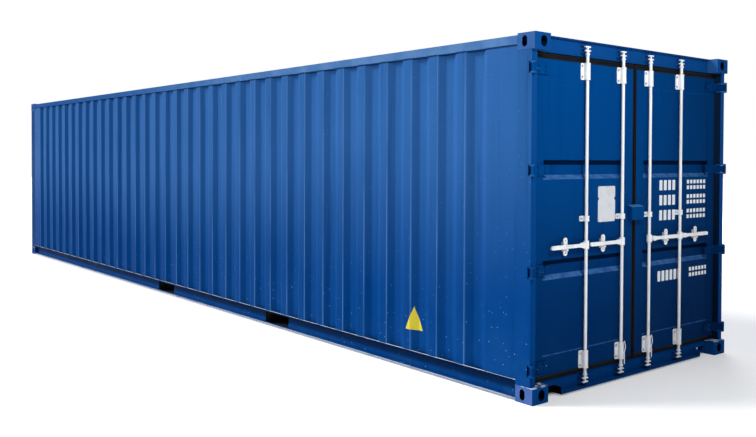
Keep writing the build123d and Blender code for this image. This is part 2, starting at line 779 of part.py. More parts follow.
# Locking bars with their cams and hubs
def cam(y, z):
    """Plate on the end of a bar: two arms and a tongue between the ears of the keeper."""
    half = CAM_T / 2
    arms = block(
        BAR_X - CAM_ARM_W / 2, BAR_X + CAM_ARM_W / 2, y - CAM_REACH, y + CAM_REACH, z - half, z + half
    )
    tongue = block(BAR_X - CAM_REACH, BAR_X, y - CAM_ARM_W / 2, y + CAM_ARM_W / 2, z - half, z + half)
    return fillet((arms + tongue).edges().filter_by(Axis.Z), CAM_ARM_W / 6)


def hub(y):
    """Sleeve round the bar with the lug and the pin that carry the handle."""
    sleeve = rod(BAR_X, y, HANDLE_Z - HUB_H / 2, HANDLE_Z + HUB_H / 2, HUB_R)
    lug_front = HANDLE_BACK - HANDLE_FRONT_GAP / 2
    lug_back = lug_front - HUB_LUG_T
    pivot = y - HUB_PIVOT_OFFSET
    lug = block(
        lug_back, lug_front, pivot, y, HANDLE_Z - HANDLE_ROOT_R, HANDLE_Z + HANDLE_ROOT_R
    )
    plane = Plane(origin=(lug_back, pivot, HANDLE_Z), x_dir=(0, 1, 0), z_dir=(1, 0, 0))
    lug += extrude(plane * Circle(HANDLE_ROOT_R), HUB_LUG_T)
    pin = extrude(plane * Circle(HUB_PIN_R), HANDLE_FRONT - lug_back)
    return sleeve + lug + pin


def locking_bar(y):
    """Cams, collars and hub, welded between lengths of round bar."""
    half_cam = CAM_T / 2
    cam_low, cam_high = CAM_HEIGHTS
    hub_low = HANDLE_Z - HUB_H / 2
    hub_high = HANDLE_Z + HUB_H / 2
    low_collar = cam_low + COLLAR_OFFSET
    high_collar = cam_high - COLLAR_OFFSET
    bars = [
        (cam_low - BAR_END_BEYOND_CAM, cam_low - half_cam, BAR_R),
        (cam_low + half_cam, low_collar, BAR_R),
        (low_collar, low_collar + COLLAR_H, COLLAR_R),
        (low_collar + COLLAR_H, hub_low, BAR_R),
        (hub_high, high_collar - COLLAR_H, BAR_R),
        (high_collar - COLLAR_H, high_collar, COLLAR_R),
        (high_collar, cam_high - half_cam, BAR_R),
        (cam_high + half_cam, cam_high + BAR_END_BEYOND_CAM, BAR_R),
    ]
    solids = [rod(BAR_X, y, start, end, radius) for start, end, radius in bars]
    return solids + [cam(y, cam_low), cam(y, cam_high), hub(y)]


def handle(y):
    """Flat lever: round eye, narrower neck with a rib, wider grip with a round tip."""
    pivot = y - HUB_PIVOT_OFFSET
    tip = pivot - HANDLE_LENGTH
    neck = HANDLE_NECK_H / 2
    neck_start = pivot - HANDLE_NECK_START
    grip_start = tip + HANDLE_GRIP_LENGTH
    half = [
        (pivot, HANDLE_ROOT_R),
        (neck_start, neck),
        (grip_start + HANDLE_GRIP_SHOULDER, neck),
        (grip_start, HANDLE_TIP_R),
        (tip, HANDLE_TIP_R),
    ]
    upper = [(py, HANDLE_Z + rise) for py, rise in half]
    lower = [(py, HANDLE_Z - rise) for py, rise in reversed(half)]
    plane = Plane(origin=(HANDLE_BACK, 0, 0), x_dir=(0, 1, 0), z_dir=(1, 0, 0))
    eye = Pos(pivot, HANDLE_Z) * Circle(HANDLE_ROOT_R)
    end = Pos(tip, HANDLE_Z) * Circle(HANDLE_TIP_R)
    hole = Pos(pivot, HANDLE_Z) * Circle(HUB_PIN_R + PIN_CLEARANCE)
    shape = make_face(Polyline(*upper, *lower, close=True)) + eye + end - hole
    lever = extrude(plane * shape, HANDLE_T)
    rib = block(
        HANDLE_FRONT, HANDLE_FRONT + HANDLE_RIB_T,
        grip_start + HANDLE_GRIP_SHOULDER, neck_start,
        HANDLE_Z - HANDLE_RIB_H / 2, HANDLE_Z + HANDLE_RIB_H / 2,
    )
    return lever + rib


for number, y in enumerate(BAR_YS, start=1):
    bar = locking_bar(y)
    lever = handle(y)
    write(f"locking_bar_{number}", *bar)
    write(f"handle_{number}", lever)
    write(f"locking_bar_{5 - number}", *[right_hand(solid) for solid in bar])
    write(f"handle_{5 - number}", right_hand(lever))


# Keepers on the header and the sill
def keeper(y, z):
    """Two level ears and the back plate that carries them."""
    half_w = KEEPER_W / 2
    half_gap = KEEPER_GAP / 2
    ear = half_gap + KEEPER_EAR_T
    section = [
        (HEADER_FRONT, z - ear), (HEADER_FRONT + KEEPER_DEPTH, z - ear),
        (HEADER_FRONT + KEEPER_DEPTH, z - half_gap), (HEADER_FRONT + KEEPER_EAR_T / 2, z - half_gap),
        (HEADER_FRONT + KEEPER_EAR_T / 2, z + half_gap), (HEADER_FRONT + KEEPER_DEPTH, z + half_gap),
        (HEADER_FRONT + KEEPER_DEPTH, z + ear), (HEADER_FRONT, z + ear),
    ]
    return beam(section, y - half_w, y + half_w)


keepers = [keeper(side * y, z) for side in (-1, 1) for y in BAR_YS for z in CAM_HEIGHTS]
write("cam_keepers", *keepers)
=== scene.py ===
# %% [markdown]
# # Dressing a forty foot freight container
# The measured model of the container is loaded first and stays fixed. It
# decides every size and every joint. The cells after it give each surface its
# paint, roll the pressed sheets with rounded bends, and add the small things
# that a plain solid model leaves out: bolts, welds, seals, marks and plates.

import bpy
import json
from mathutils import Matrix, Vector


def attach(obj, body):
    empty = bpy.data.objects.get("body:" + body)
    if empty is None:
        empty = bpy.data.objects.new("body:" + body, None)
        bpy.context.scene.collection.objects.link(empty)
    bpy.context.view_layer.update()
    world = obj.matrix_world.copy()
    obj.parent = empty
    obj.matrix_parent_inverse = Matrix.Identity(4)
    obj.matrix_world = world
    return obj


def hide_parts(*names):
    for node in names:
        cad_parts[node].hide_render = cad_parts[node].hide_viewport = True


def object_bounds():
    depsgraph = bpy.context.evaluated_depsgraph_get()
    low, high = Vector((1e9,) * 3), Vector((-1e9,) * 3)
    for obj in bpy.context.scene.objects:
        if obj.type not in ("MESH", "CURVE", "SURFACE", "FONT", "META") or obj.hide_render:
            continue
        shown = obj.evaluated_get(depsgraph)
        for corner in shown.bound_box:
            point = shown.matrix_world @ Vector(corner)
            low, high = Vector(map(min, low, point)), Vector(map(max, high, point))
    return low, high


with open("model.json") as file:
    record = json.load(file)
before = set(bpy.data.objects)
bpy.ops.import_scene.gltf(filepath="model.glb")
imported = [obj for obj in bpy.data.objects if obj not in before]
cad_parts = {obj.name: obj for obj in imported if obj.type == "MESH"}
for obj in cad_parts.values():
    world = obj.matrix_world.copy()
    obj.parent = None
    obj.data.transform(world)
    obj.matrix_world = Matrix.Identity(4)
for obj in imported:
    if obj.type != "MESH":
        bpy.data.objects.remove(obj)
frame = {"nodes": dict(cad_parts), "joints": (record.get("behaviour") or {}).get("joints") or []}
cad_box = [list(corner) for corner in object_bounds()]
print("box of the measured model:", cad_box)

# %% [markdown]
# ## Sizes that several cells share
# The frame stands along X with its doors at +X, and the left-hand long side is
# at -Y for somebody who faces the doors. Everything is in metres. Most sizes are
# read from the boxes of the measured pieces and the places of their joints, so
# they follow the frame. The two sides mirror each other, so one of them is read.

# %% Sizes read from the frame
import json
import math

import bmesh
import bpy
from mathutils import Matrix, Vector

scene = bpy.context.scene


def box_of(node):
    """Low and high corner of a measured piece, to a tenth of a millimetre."""
    item = frame["nodes"][node]
    points = [item.matrix_world @ point.co for point in item.data.vertices]
    return [[round(pick(point[i] for point in points), 4) for i in range(3)] for pick in (min, max)]


def joint_place(name):
    """Place of a joint, to a tenth of a millimetre."""
    place = next(joint["pos_m"] for joint in frame["joints"] if joint["name"] == name)
    return [round(number, 4) for number in place]


HALF_L, HALF_W, HEIGHT = (round(number, 4) for number in cad_box[1])
FITTING_TALL = box_of("corner_fittings_bottom")[1][2]
POST_INNER = box_of("rear_corner_post_right")[0][1]
(_, _, RAIL_LOW), (_, RAIL_FACE, RAIL_TOP) = box_of("bottom_side_rail_right")
(_, _, WALL_LOW), (WALL_END, SIDE_OUTER, WALL_HIGH) = box_of("side_wall_right")
(_, LEAF_INNER, LEAF_LOW), (LEAF_FRONT, LEAF_OUTER, LEAF_HIGH) = box_of("right_door_frame")
(_, PANEL_INNER, PANEL_LOW), (PANEL_FRONT, PANEL_OUTER, PANEL_HIGH) = box_of("right_door_panel")
WALL_LENGTH = 2 * WALL_END
PIN_Y = joint_place("right_door_hinge")[1]
BAR_X, INNER_BAR_Y, _ = joint_place("locking_bar_3_turn")
OUTER_BAR_Y = joint_place("locking_bar_4_turn")[1]
BAR_OFFSETS = (OUTER_BAR_Y, INNER_BAR_Y)
BAR_YS = (-OUTER_BAR_Y, -INNER_BAR_Y, INNER_BAR_Y, OUTER_BAR_Y)
DOORS = (("left_door", -1), ("right_door", 1))
print("length of a long wall:", WALL_LENGTH, "bars at", BAR_YS)

# %% [markdown]
# ## The waves of the pressed sheets
# One wave is an outer flat, a slope in, an inner flat and a slope out. The plain
# strip at each end of a sheet takes up what is left over, so a longer sheet gets
# more waves and not wider ones, as on a press.

# %% Waves
SIDE_WAVE = dict(pitch=0.332, flat=0.086, slope=0.081, depth=0.036, plain=0.244)
END_WAVE = dict(pitch=0.250, flat=0.110, slope=0.018, depth=0.045, plain=0.050)
ROOF_WAVE = dict(pitch=0.295, flat=0.140, slope=0.014, depth=0.020, plain=0.060)


def wave_start(length, wave):
    """Number of waves on a sheet, and the distance to the first of them."""
    span = length - 2 * wave["plain"]
    count = int((span + wave["flat"]) / wave["pitch"])
    used = count * wave["pitch"] - wave["flat"]
    return count, wave["plain"] + (span - used) / 2


def wave_depth(s, length, wave):
    """How far the sheet lies behind its outer flats at distance s along it."""
    count, first = wave_start(length, wave)
    index = min(max(math.floor((s - first) / wave["pitch"]), 0), count - 1)
    u = s - first - index * wave["pitch"]
    rise = min(u, wave["pitch"] - wave["flat"] - u) / wave["slope"]
    return wave["depth"] * min(max(rise, 0.0), 1.0)


print("waves on a long side:", wave_start(WALL_LENGTH, SIDE_WAVE))

# %% [markdown]
# ## The camera
# The photograph was taken from a standing person's eye height near the door
# corner with a moderately long lens, and cropped off-centre. The place and the
# turn below put the eight outer corners of the model on the corners in the
# photograph. A small lens shift gives the off-centre crop.

# %% Camera
FRAME_W, FRAME_H = 756, 437
FOCAL_PX, CENTRE_X, CENTRE_Y = 846.0, 497.0, 174.0
EYE = Vector((10.16, -5.39, 1.72))
azimuth, elevation, roll = (math.radians(a) for a in (46.78, 1.12, 0.38))
forward = Vector((
    -math.sin(azimuth) * math.cos(elevation),
    math.cos(azimuth) * math.cos(elevation),
    -math.sin(elevation),
))
level_right = forward.cross(Vector((0, 0, 1))).normalized()
level_up = level_right.cross(forward)
right = level_right * math.cos(roll) + level_up * math.sin(roll)
up = level_up * math.cos(roll) - level_right * math.sin(roll)

camera_data = bpy.data.cameras.new("camera")
camera = bpy.data.objects.new("camera", camera_data)
scene.collection.objects.link(camera)
turn = Matrix((right, up, -forward)).transposed().to_4x4()
camera.matrix_world = Matrix.Translation(EYE) @ turn
camera_data.lens = FOCAL_PX / FRAME_W * camera_data.sensor_width
camera_data.shift_x = (FRAME_W / 2 - CENTRE_X) / FRAME_W
camera_data.shift_y = (CENTRE_Y - FRAME_H / 2) / FRAME_W
camera_data.clip_end = 200.0
scene.camera = camera
print("lens", round(camera_data.lens, 1), "mm, shift", round(camera_data.shift_x, 3))

# %% [markdown]
# ## Studio light
# The daylight in the photograph comes from beyond the far end of the long wall
# and from above. The slopes of the waves that face away from the doors catch it
# and show as thin bright lines, and the door end stays darker. So a wide soft sun
# shines from there, and the surroundings are brighter on that side. They are plain
# white to the camera and dimmer to the paint, which keeps the blue deep, and so is
# the floor. A small lamp near the top of the hinge side gives the doors their
# fall-off in brightness.

# %% Lights


def soft_light(name, place, target, width, height, watts):
    """An area light at a place, aimed at a target."""
    data = bpy.data.lights.new(name, "AREA")
    data.shape = "RECTANGLE"
    data.size, data.size_y = width, height
    data.energy = watts
    lamp = bpy.data.objects.new(name, data)
    scene.collection.objects.link(lamp)
    lamp.location = place
    lamp.rotation_euler = (Vector(target) - Vector(place)).to_track_quat("-Z", "Y").to_euler()
    return lamp


DAYLIGHT_WAY = Vector((0.60, 0.52, -0.61))
daylight = bpy.data.lights.new("daylight", "SUN")
daylight.energy, daylight.angle = 3.2, math.radians(24)
daylight_lamp = bpy.data.objects.new("daylight", daylight)
scene.collection.objects.link(daylight_lamp)
daylight_lamp.rotation_euler = DAYLIGHT_WAY.to_track_quat("-Z", "Y").to_euler()
soft_light("door_light", (8.6, -1.3, 3.8), (6.1, -0.8, 1.5), 0.5, 0.5, 76.0)
soft_light("far_side_light", (-8.0, 14.0, 8.0), (0.0, 0.0, 1.0), 8.0, 5.0, 1100.0)
print("lights:", [lamp.name for lamp in bpy.data.lights])

# %% Surroundings
FAR_GLOW, DOOR_GLOW = 0.95, 0.14
world = bpy.data.worlds.new("studio")
scene.world = world
world.use_nodes = True
sky = world.node_tree
sky.nodes.clear()
seen = sky.nodes.new("ShaderNodeBackground")
seen.inputs["Color"].default_value = (1, 1, 1, 1)
seen.inputs["Strength"].default_value = 1.0
felt = sky.nodes.new("ShaderNodeBackground")
felt.inputs["Color"].default_value = (0.93, 0.96, 1.0, 1)
direction = sky.nodes.new("ShaderNodeSeparateXYZ")
sky.links.new(sky.nodes.new("ShaderNodeTexCoord").outputs["Generated"], direction.inputs[0])
glow = sky.nodes.new("ShaderNodeMapRange")
glow.interpolation_type = "SMOOTHSTEP"
sky.links.new(direction.outputs["X"], glow.inputs[0])
for socket, number in zip(glow.inputs[1:5], (-1.0, 0.3, FAR_GLOW, DOOR_GLOW)):
    socket.default_value = number
sky.links.new(glow.outputs[0], felt.inputs["Strength"])
ray = sky.nodes.new("ShaderNodeLightPath")
choose = sky.nodes.new("ShaderNodeMixShader")
out = sky.nodes.new("ShaderNodeOutputWorld")
sky.links.new(ray.outputs["Is Camera Ray"], choose.inputs[0])
sky.links.new(felt.outputs[0], choose.inputs[1])
sky.links.new(seen.outputs[0], choose.inputs[2])
sky.links.new(choose.outputs[0], out.inputs[0])
scene.view_settings.view_transform = "Standard"

# %% Floor
REACH, DROP = 60, -0.001
floor_mesh = bpy.data.meshes.new("studio_floor")
floor_mesh.from_pydata(
    [(-REACH, -REACH, DROP), (REACH, -REACH, DROP), (REACH, REACH, DROP), (-REACH, REACH, DROP)],
    [], [(0, 1, 2, 3)],
)
floor = bpy.data.objects.new("studio_floor", floor_mesh)
scene.collection.objects.link(floor)
print("floor from", -REACH, "to", REACH)

# %% [markdown]
# ## A small kit for materials
# Every finish below is a little network: a position on the object, some noise
# read at that position, and colour and roughness worked out from the noise.
# Positions are object coordinates, so the pattern stays on the steel when a
# door swings.

# %% Material kit


class Finish:
    """One procedural material, built a step at a time."""

    def __init__(self, name):
        self.material = bpy.data.materials.new(name)
        self.material.use_nodes = True
        self.nodes = self.material.node_tree.nodes
        self.links = self.material.node_tree.links
        self.shader = self.nodes["Principled BSDF"]
        coordinates = self.nodes.new("ShaderNodeTexCoord").outputs
        self.place, self.outlook = coordinates["Object"], coordinates["Normal"]

    def feed(self, socket, value):
        """Links a socket to another one, or sets its number or colour."""
        if isinstance(value, bpy.types.NodeSocket):
            self.links.new(value, socket)
        elif value is not None:
            socket.default_value = value

    def set(self, **values):
        """Inputs of the surface, named as on the shader with underscores for spaces."""
        for name, value in values.items():
            self.feed(self.shader.inputs[name.replace("_", " ")], value)

    def stretched(self, scale):
        """The position with its three axes scaled, for patterns longer one way."""
        node = self.nodes.new("ShaderNodeMapping")
        self.links.new(self.place, node.inputs["Vector"])
        node.inputs["Scale"].default_value = scale
        return node.outputs["Vector"]

    def axis(self, letter):
        """One coordinate of the position."""
        node = self.nodes.new("ShaderNodeSeparateXYZ")
        self.links.new(self.place, node.inputs[0])
        return node.outputs[letter]

    def facing(self, letter, low, high):
        """One on the faces that look along an axis of the object."""
        node = self.nodes.new("ShaderNodeSeparateXYZ")
        self.links.new(self.outlook, node.inputs[0])
        return self.span(node.outputs[letter], low, high)

    def noise(self, scale, detail=3.0, stretch=None, rough=0.5):
        """Cloudy pattern read at the position."""
        node = self.nodes.new("ShaderNodeTexNoise")
        vector = self.place if stretch is None else self.stretched(stretch)
        self.links.new(vector, node.inputs["Vector"])
        node.inputs["Scale"].default_value = scale
        node.inputs["Detail"].default_value = detail
        node.inputs["Roughness"].default_value = rough
        return node.outputs["Fac"]

    def specks(self, scale, size, share):
        """Small round dots, in a given share of the cells of a scattered grid."""
        cells = self.nodes.new("ShaderNodeTexVoronoi")
        self.links.new(self.place, cells.inputs["Vector"])
        cells.inputs["Scale"].default_value = scale
        draw = self.nodes.new("ShaderNodeSeparateColor")
        self.links.new(cells.outputs["Color"], draw.inputs[0])
        chosen = self.span(draw.outputs[0], 1.0 - share, 1.01 - share)
        return self.times(self.span(cells.outputs["Distance"], size, 0.6 * size), chosen)

    def band(self, value, low, high, soft):
        """One between two numbers and nothing outside them, with soft ends."""
        rising = self.span(value, low - soft, low)
        return self.times(rising, self.span(value, high, high + soft, 1.0, 0.0))

    def span(self, value, low, high, to_low=0.0, to_high=1.0):
        """A smooth step from one number to another while the value goes from low to high."""
        node = self.nodes.new("ShaderNodeMapRange")
        node.interpolation_type = "SMOOTHSTEP"
        self.feed(node.inputs[0], value)
        for socket, number in zip(node.inputs[1:5], (low, high, to_low, to_high)):
            socket.default_value = number
        return node.outputs[0]

    def math(self, operation, a, b=0.0):
        """One sum; additions and subtractions stay between nothing and one."""
        node = self.nodes.new("ShaderNodeMath")
        node.operation = operation
        node.use_clamp = operation in ("ADD", "SUBTRACT")
        self.feed(node.inputs[0], a)
        self.feed(node.inputs[1], b)
        return node.outputs[0]

    def times(self, a, b):
        """Product of two values, or of a value and a number."""
        return self.math("MULTIPLY", a, b)

    def mix(self, factor, a, b):
        """Colour a where the factor is nothing and colour b where it is one."""
        node = self.nodes.new("ShaderNodeMix")
        node.data_type = "RGBA"
        self.feed(node.inputs[0], factor)
        self.feed(node.inputs[6], a)
        self.feed(node.inputs[7], b)
        return node.outputs[2]

    def bump(self, height, strength, distance, under=None):
        """Small relief from a pattern, on top of the relief under it."""
        node = self.nodes.new("ShaderNodeBump")
        node.inputs["Strength"].default_value = strength
        node.inputs["Distance"].default_value = distance
        self.links.new(height, node.inputs["Height"])
        if under is not None:
            self.links.new(under, node.inputs["Normal"])
        return node.outputs["Normal"]


def colour(red, green, blue):
    """Linear colour from the 0 to 255 numbers of a paint chart."""
    def linear(v):
        v = v / 255.0
        return v / 12.92 if v <= 0.04045 else ((v + 0.055) / 1.055) ** 2.4

    return (linear(red), linear(green), linear(blue), 1.0)


# %% [markdown]
# ## Blue container paint
# The whole box is sprayed in one deep blue. The paint grows paler towards the top,
# over less of the height near the doors, rain draws faint upright streaks, and dust
# from the ground settles on the lowest third. The sprayed coat has a fine orange-peel
# skin, and a few small rust pricks start low down where stones hit it.

# %% Blue paint


def blue_paint(name, deep, pale, rust_amount, dust_amount, wear=None, shade=0.80):
    """Weathered blue. Wear adds the wear, painted shade and painted highlights of one kind of piece,
    given the paint and its colour.

    Shade is the share of the height that pales near the doors, against the far end.
    """
    paint = Finish(name)
    height = paint.axis("Z")
    cloud = paint.noise(0.9, 3.0)
    # Paler towards the top, over less of the height near the doors.
    pale_height_share = paint.span(paint.axis("X"), -1.0, 5.5, 1.0, shade)
    fade = paint.span(paint.times(height, pale_height_share), 0.4, 1.7, 0.0, 0.8)
    fade = paint.math("ADD", fade, paint.span(cloud, 0.35, 0.75, 0.0, 0.12))
    body = paint.mix(fade, deep, pale)
    streak = paint.span(paint.noise(2.0, 5.0, (7.0, 7.0, 0.35), 0.6), 0.5, 0.78, 0.0, 0.35)
    darker = tuple(0.6 * c for c in deep[:3]) + (1.0,)
    body = paint.mix(streak, body, darker)
    low = paint.span(height, 0.02, 1.1, 1.0, 0.0)
    patch = paint.span(paint.noise(5.0, 8.0, None, 0.65), 0.42, 0.72)
    dust = paint.times(paint.times(low, patch), dust_amount)
    body = paint.mix(dust, body, colour(52, 100, 150))
    splash = paint.times(paint.specks(34.0, 0.15, 0.20), paint.span(low, 0.0, 1.0, 0.25, 0.85))
    body = paint.mix(splash, body, colour(150, 190, 230))
    prick = paint.span(paint.noise(46.0, 3.0), 0.69, 0.74)
    worn = paint.span(paint.noise(3.1, 4.0), 0.5, 0.7)
    rust = paint.times(paint.times(prick, worn), rust_amount)
    body = paint.mix(rust, body, colour(104, 58, 34))
    if wear:
        body = wear(paint, body)
    rough = paint.math("ADD", paint.span(cloud, 0.3, 0.7, 0.34, 0.48), dust)
    rough = paint.math("ADD", rough, paint.times(rust, 0.4))
    skin = paint.bump(paint.noise(130.0, 2.0), 0.16, 0.0008)
    skin = paint.bump(paint.noise(2.2, 2.0), 0.22, 0.02, skin)
    paint.set(Base_Color=body, Roughness=rough, Normal=skin)
    paint.set(Specular_IOR_Level=0.008)
    return paint.material


# %% [markdown]
# ## Wear, painted shade and painted highlights of the blue paint, piece by piece
# Paint ages by where it is: castings are scraped where twist-locks touch them, and
# dust settles on the doors. Light and shade are painted in as well: painted highlights
# on the outer bends of the sheets, the flange edges of the bottom rails and the faces
# that catch the light, and painted shade in corners, recesses and on faces that look
# away from it. Each function below takes the paint and its colour, and gives back a
# colour with the wear and the painted light and shade of one kind of piece. The places
# are counted from the measured edges.

# %% Painted highlights and shade of the sheets and the frame


def sheet_highlight_and_shade(paint, body):
    """Painted highlights on the outer bends of the pressed sheets, painted shade on the slopes that look
    towards the doors, deeper the farther away they are, and a painted shadow under the top rails.
    """
    # Painted highlight: pale paint on the outer bend on the lit side of each wave, uneven along the
    # sheet.
    mark = paint.nodes.new("ShaderNodeAttribute")
    mark.attribute_name = "bend_highlight"
    uneven_highlight = paint.span(paint.noise(2.6, 4.0, (1.0, 1.0, 0.5)), 0.3, 0.6, 0.35, 0.85)
    # Painted shade on the slopes that face the doors, stronger far from them.
    far_shade = paint.span(paint.axis("X"), -3.0, 4.0, 0.65, 0.1)
    slope = paint.times(paint.facing("X", 0.15, 0.45), far_shade)
    body = paint.mix(slope, body, colour(0, 62, 124))
    # Painted shadow in a thin band under the top rails.
    eave_shadow = paint.times(paint.band(paint.axis("Z"), WALL_HIGH - 0.011, WALL_HIGH + 0.005, 0.004), 0.65)
    body = paint.mix(eave_shadow, body, colour(3, 24, 56))
    return paint.mix(paint.times(mark.outputs["Fac"], uneven_highlight), body, colour(84, 132, 192))


def shaded_end(paint, body):
    """Faces that look out of the door end get a painted shade of deeper blue."""
    shaded = paint.times(paint.facing("X", 0.6, 0.9), 0.85)
    return paint.mix(shaded, body, colour(0, 64, 130))


def frame_shade(paint, body):
    """Painted shade on the front corner posts, darker than the rest of the frame, and on the shaded door
    end.
    """
    # Painted shade on the front corner posts.
    front = paint.span(paint.axis("X"), -WALL_END - 0.002, -WALL_END + 0.018, 0.85, 0.0)
    return shaded_end(paint, paint.mix(front, body, colour(0, 50, 104)))


# %% Painted highlights, painted shade and tones of the rails


def outward(paint):
    """Distance from the middle plane of the container."""
    return paint.math("ABSOLUTE", paint.axis("Y"))


def rail_highlight_and_shade(paint, body):
    """Painted highlights along the flange edges of the bottom rails, and painted shade on the upper part
    of the webs between.
    """
    height = paint.axis("Z")
    # Painted shade on the web, deeper towards the top flange.
    recess = paint.span(outward(paint), RAIL_FACE - 0.0035, RAIL_FACE - 0.0015, 1.0, 0.0)
    web_shade = paint.times(paint.span(height, 0.045, 0.085, 0.0, 0.75), recess)
    body = paint.mix(web_shade, body, colour(3, 20, 46))
    # Painted highlights along the flange edges, uneven along the rail.
    lip = paint.span(outward(paint), RAIL_FACE - 0.0015, RAIL_FACE - 0.0005)
    flange_highlight = paint.times(paint.band(height, RAIL_TOP - 0.005, RAIL_TOP + 0.001, 0.001), lip)
    flange = paint.span(outward(paint), RAIL_FACE - 0.022, RAIL_FACE - 0.016)
    ledge_highlight = paint.times(paint.band(height, RAIL_LOW + 0.002, RAIL_LOW + 0.005, 0.0005), flange)
    flange_highlight = paint.math("ADD", flange_highlight, ledge_highlight)
    flange_highlight = paint.times(flange_highlight, paint.span(paint.noise(4.0, 4.0), 0.3, 0.5, 0.45, 0.9))
    return paint.mix(flange_highlight, body, colour(196, 208, 226))


def top_rail_tones(paint, body):
    """Outer faces of the top rails, paler towards the doors and deep blue far away."""
    face = paint.span(outward(paint), RAIL_FACE - 0.016, RAIL_FACE - 0.010)
    paler_face = paint.times(face, paint.span(paint.noise(5.0, 4.0), 0.3, 0.7, 0.25, 0.5))
    paler_face = paint.times(paler_face, paint.span(paint.axis("X"), -2.5, 3.5))
    body = paint.mix(paint.span(paint.axis("X"), -5.0, 2.0, 0.7, 0.0), body, colour(0, 70, 136))
    return paint.mix(paler_face, body, colour(112, 150, 196))


# %% Wear and painted shade of the castings, the sill and the posts
CAVITY_Y, CAVITY_X = 1.070, 5.930
CAVITIES = ((0.003, FITTING_TALL - 0.004), (HEIGHT - FITTING_TALL + 0.004, HEIGHT - 0.0025))
NOTCH_SIDE, NOTCH_TOP = (0.8855, 0.8868), (0.0685, 0.0695)


def casting_wear_and_shade(paint, body):
    """Castings: scraped side faces with a pale painted sheen, scraped top edges of the lower castings,
    and cavities blackened by painted shade.
    """
    body = shaded_end(paint, body)
    # Side faces: scrapes and a pale painted sheen, stronger low down.
    side = paint.span(outward(paint), HALF_W - 0.0007, HALF_W - 0.0002)
    scraped_and_sheen = paint.times(side, paint.span(paint.noise(9.0, 6.0), 0.3, 0.6, 0.35, 0.75))
    scraped_and_sheen = paint.times(scraped_and_sheen, paint.span(paint.axis("Z"), 0.2, 0.4, 1.0, 0.4))
    body = paint.mix(scraped_and_sheen, body, colour(84, 112, 172))
    lengthways = paint.math("ABSOLUTE", paint.axis("X"))
    inside = paint.times(paint.band(outward(paint), CAVITY_Y, HALF_W - 0.0022, 0.0006),
                         paint.band(lengthways, CAVITY_X, HALF_L - 0.0022, 0.0006))
    # Painted shade: the cavities inside the castings are nearly black.
    for low, high in CAVITIES:
        cavity_shade = paint.times(inside, paint.band(paint.axis("Z"), low, high, 0.0006))
        body = paint.mix(paint.times(cavity_shade, 0.9), body, colour(4, 8, 16))
    rim = paint.band(paint.axis("Z"), FITTING_TALL - 0.0025, FITTING_TALL + 0.001, 0.001)
    rim = paint.times(rim, paint.span(paint.noise(26.0, 4.0), 0.42, 0.56, 0.0, 0.9))
    return paint.mix(rim, body, colour(206, 214, 230))


def sill_shade(paint, body):
    """Painted shadow inside the lifting notches, nearly black."""
    body = shaded_end(paint, body)
    # Painted shadow in the notches.
    inside = paint.times(paint.span(outward(paint), *NOTCH_SIDE),
                         paint.span(paint.axis("Z"), *NOTCH_TOP, 1.0, 0.0))
    return paint.mix(inside, body, colour(9, 11, 16))


def post_shade(paint, body):
    """Painted shade on the inner faces of the rear posts, beside the lips of the seals."""
    body = shaded_end(paint, body)
    # Painted shade on the inner faces of the posts.
    inside = paint.span(outward(paint), POST_INNER + 0.0002, POST_INNER + 0.0012, 0.85, 0.0)
    return paint.mix(inside, body, colour(8, 12, 22))


# %% Dust, painted shade and painted highlights of the doors and the hood
SWAGE_FEET = (0.846, 1.566)
LOWER_SLOPE, UPPER_SLOPE = (0.000, 0.030), (0.104, 0.137)


def door_dust_and_light(paint, body):
    """Leaves with a painted shade that deepens towards the right, dust and a painted highlight on the
    lower slopes of their swages, a painted shadow on the upper slopes, and a painted highlight along the
    lower joint.
    """
    # Painted shade, deeper towards the right-hand leaf.
    body = paint.mix(paint.span(paint.axis("Y"), -0.5, 1.2, 0.0, 0.5), body, colour(0, 30, 68))
    inside = paint.band(outward(paint), PANEL_INNER, PANEL_OUTER, 0.001)
    dust_and_light = paint.span(paint.noise(24.0, 5.0), 0.3, 0.7, 0.4, 0.9)
    for foot in SWAGE_FEET:
        # Lower slopes face up: dust and a painted highlight.
        low, high = (foot + rise for rise in LOWER_SLOPE)
        slope = paint.times(paint.band(paint.axis("Z"), low, high, 0.002), inside)
        body = paint.mix(paint.times(slope, dust_and_light), body, colour(70, 120, 186))
        # Upper slopes face down: a painted shadow.
        low, high = (foot + rise for rise in UPPER_SLOPE)
        slope = paint.times(paint.band(paint.axis("Z"), low, high, 0.003), inside)
        body = paint.mix(paint.times(slope, 0.85), body, colour(2, 12, 32))
    # Painted highlight along the joint at the foot of the panel.
    joint = paint.times(paint.band(paint.axis("Z"), PANEL_LOW - 0.004, PANEL_LOW + 0.003, 0.002), inside)
    return paint.mix(paint.times(joint, dust_and_light), body, colour(64, 112, 172))


def hood_light(paint, body):
    """Hood over the padlock: painted light on its front and a painted highlight on its sloping top."""
    # Painted light on the front.
    front = paint.times(paint.facing("X", 0.6, 0.9), 0.8)
    body = paint.mix(front, body, colour(0, 68, 130))
    # Painted highlight on the top.
    top = paint.times(paint.facing("Z", 0.6, 0.9), 0.9)
    return paint.mix(top, body, colour(74, 128, 196))


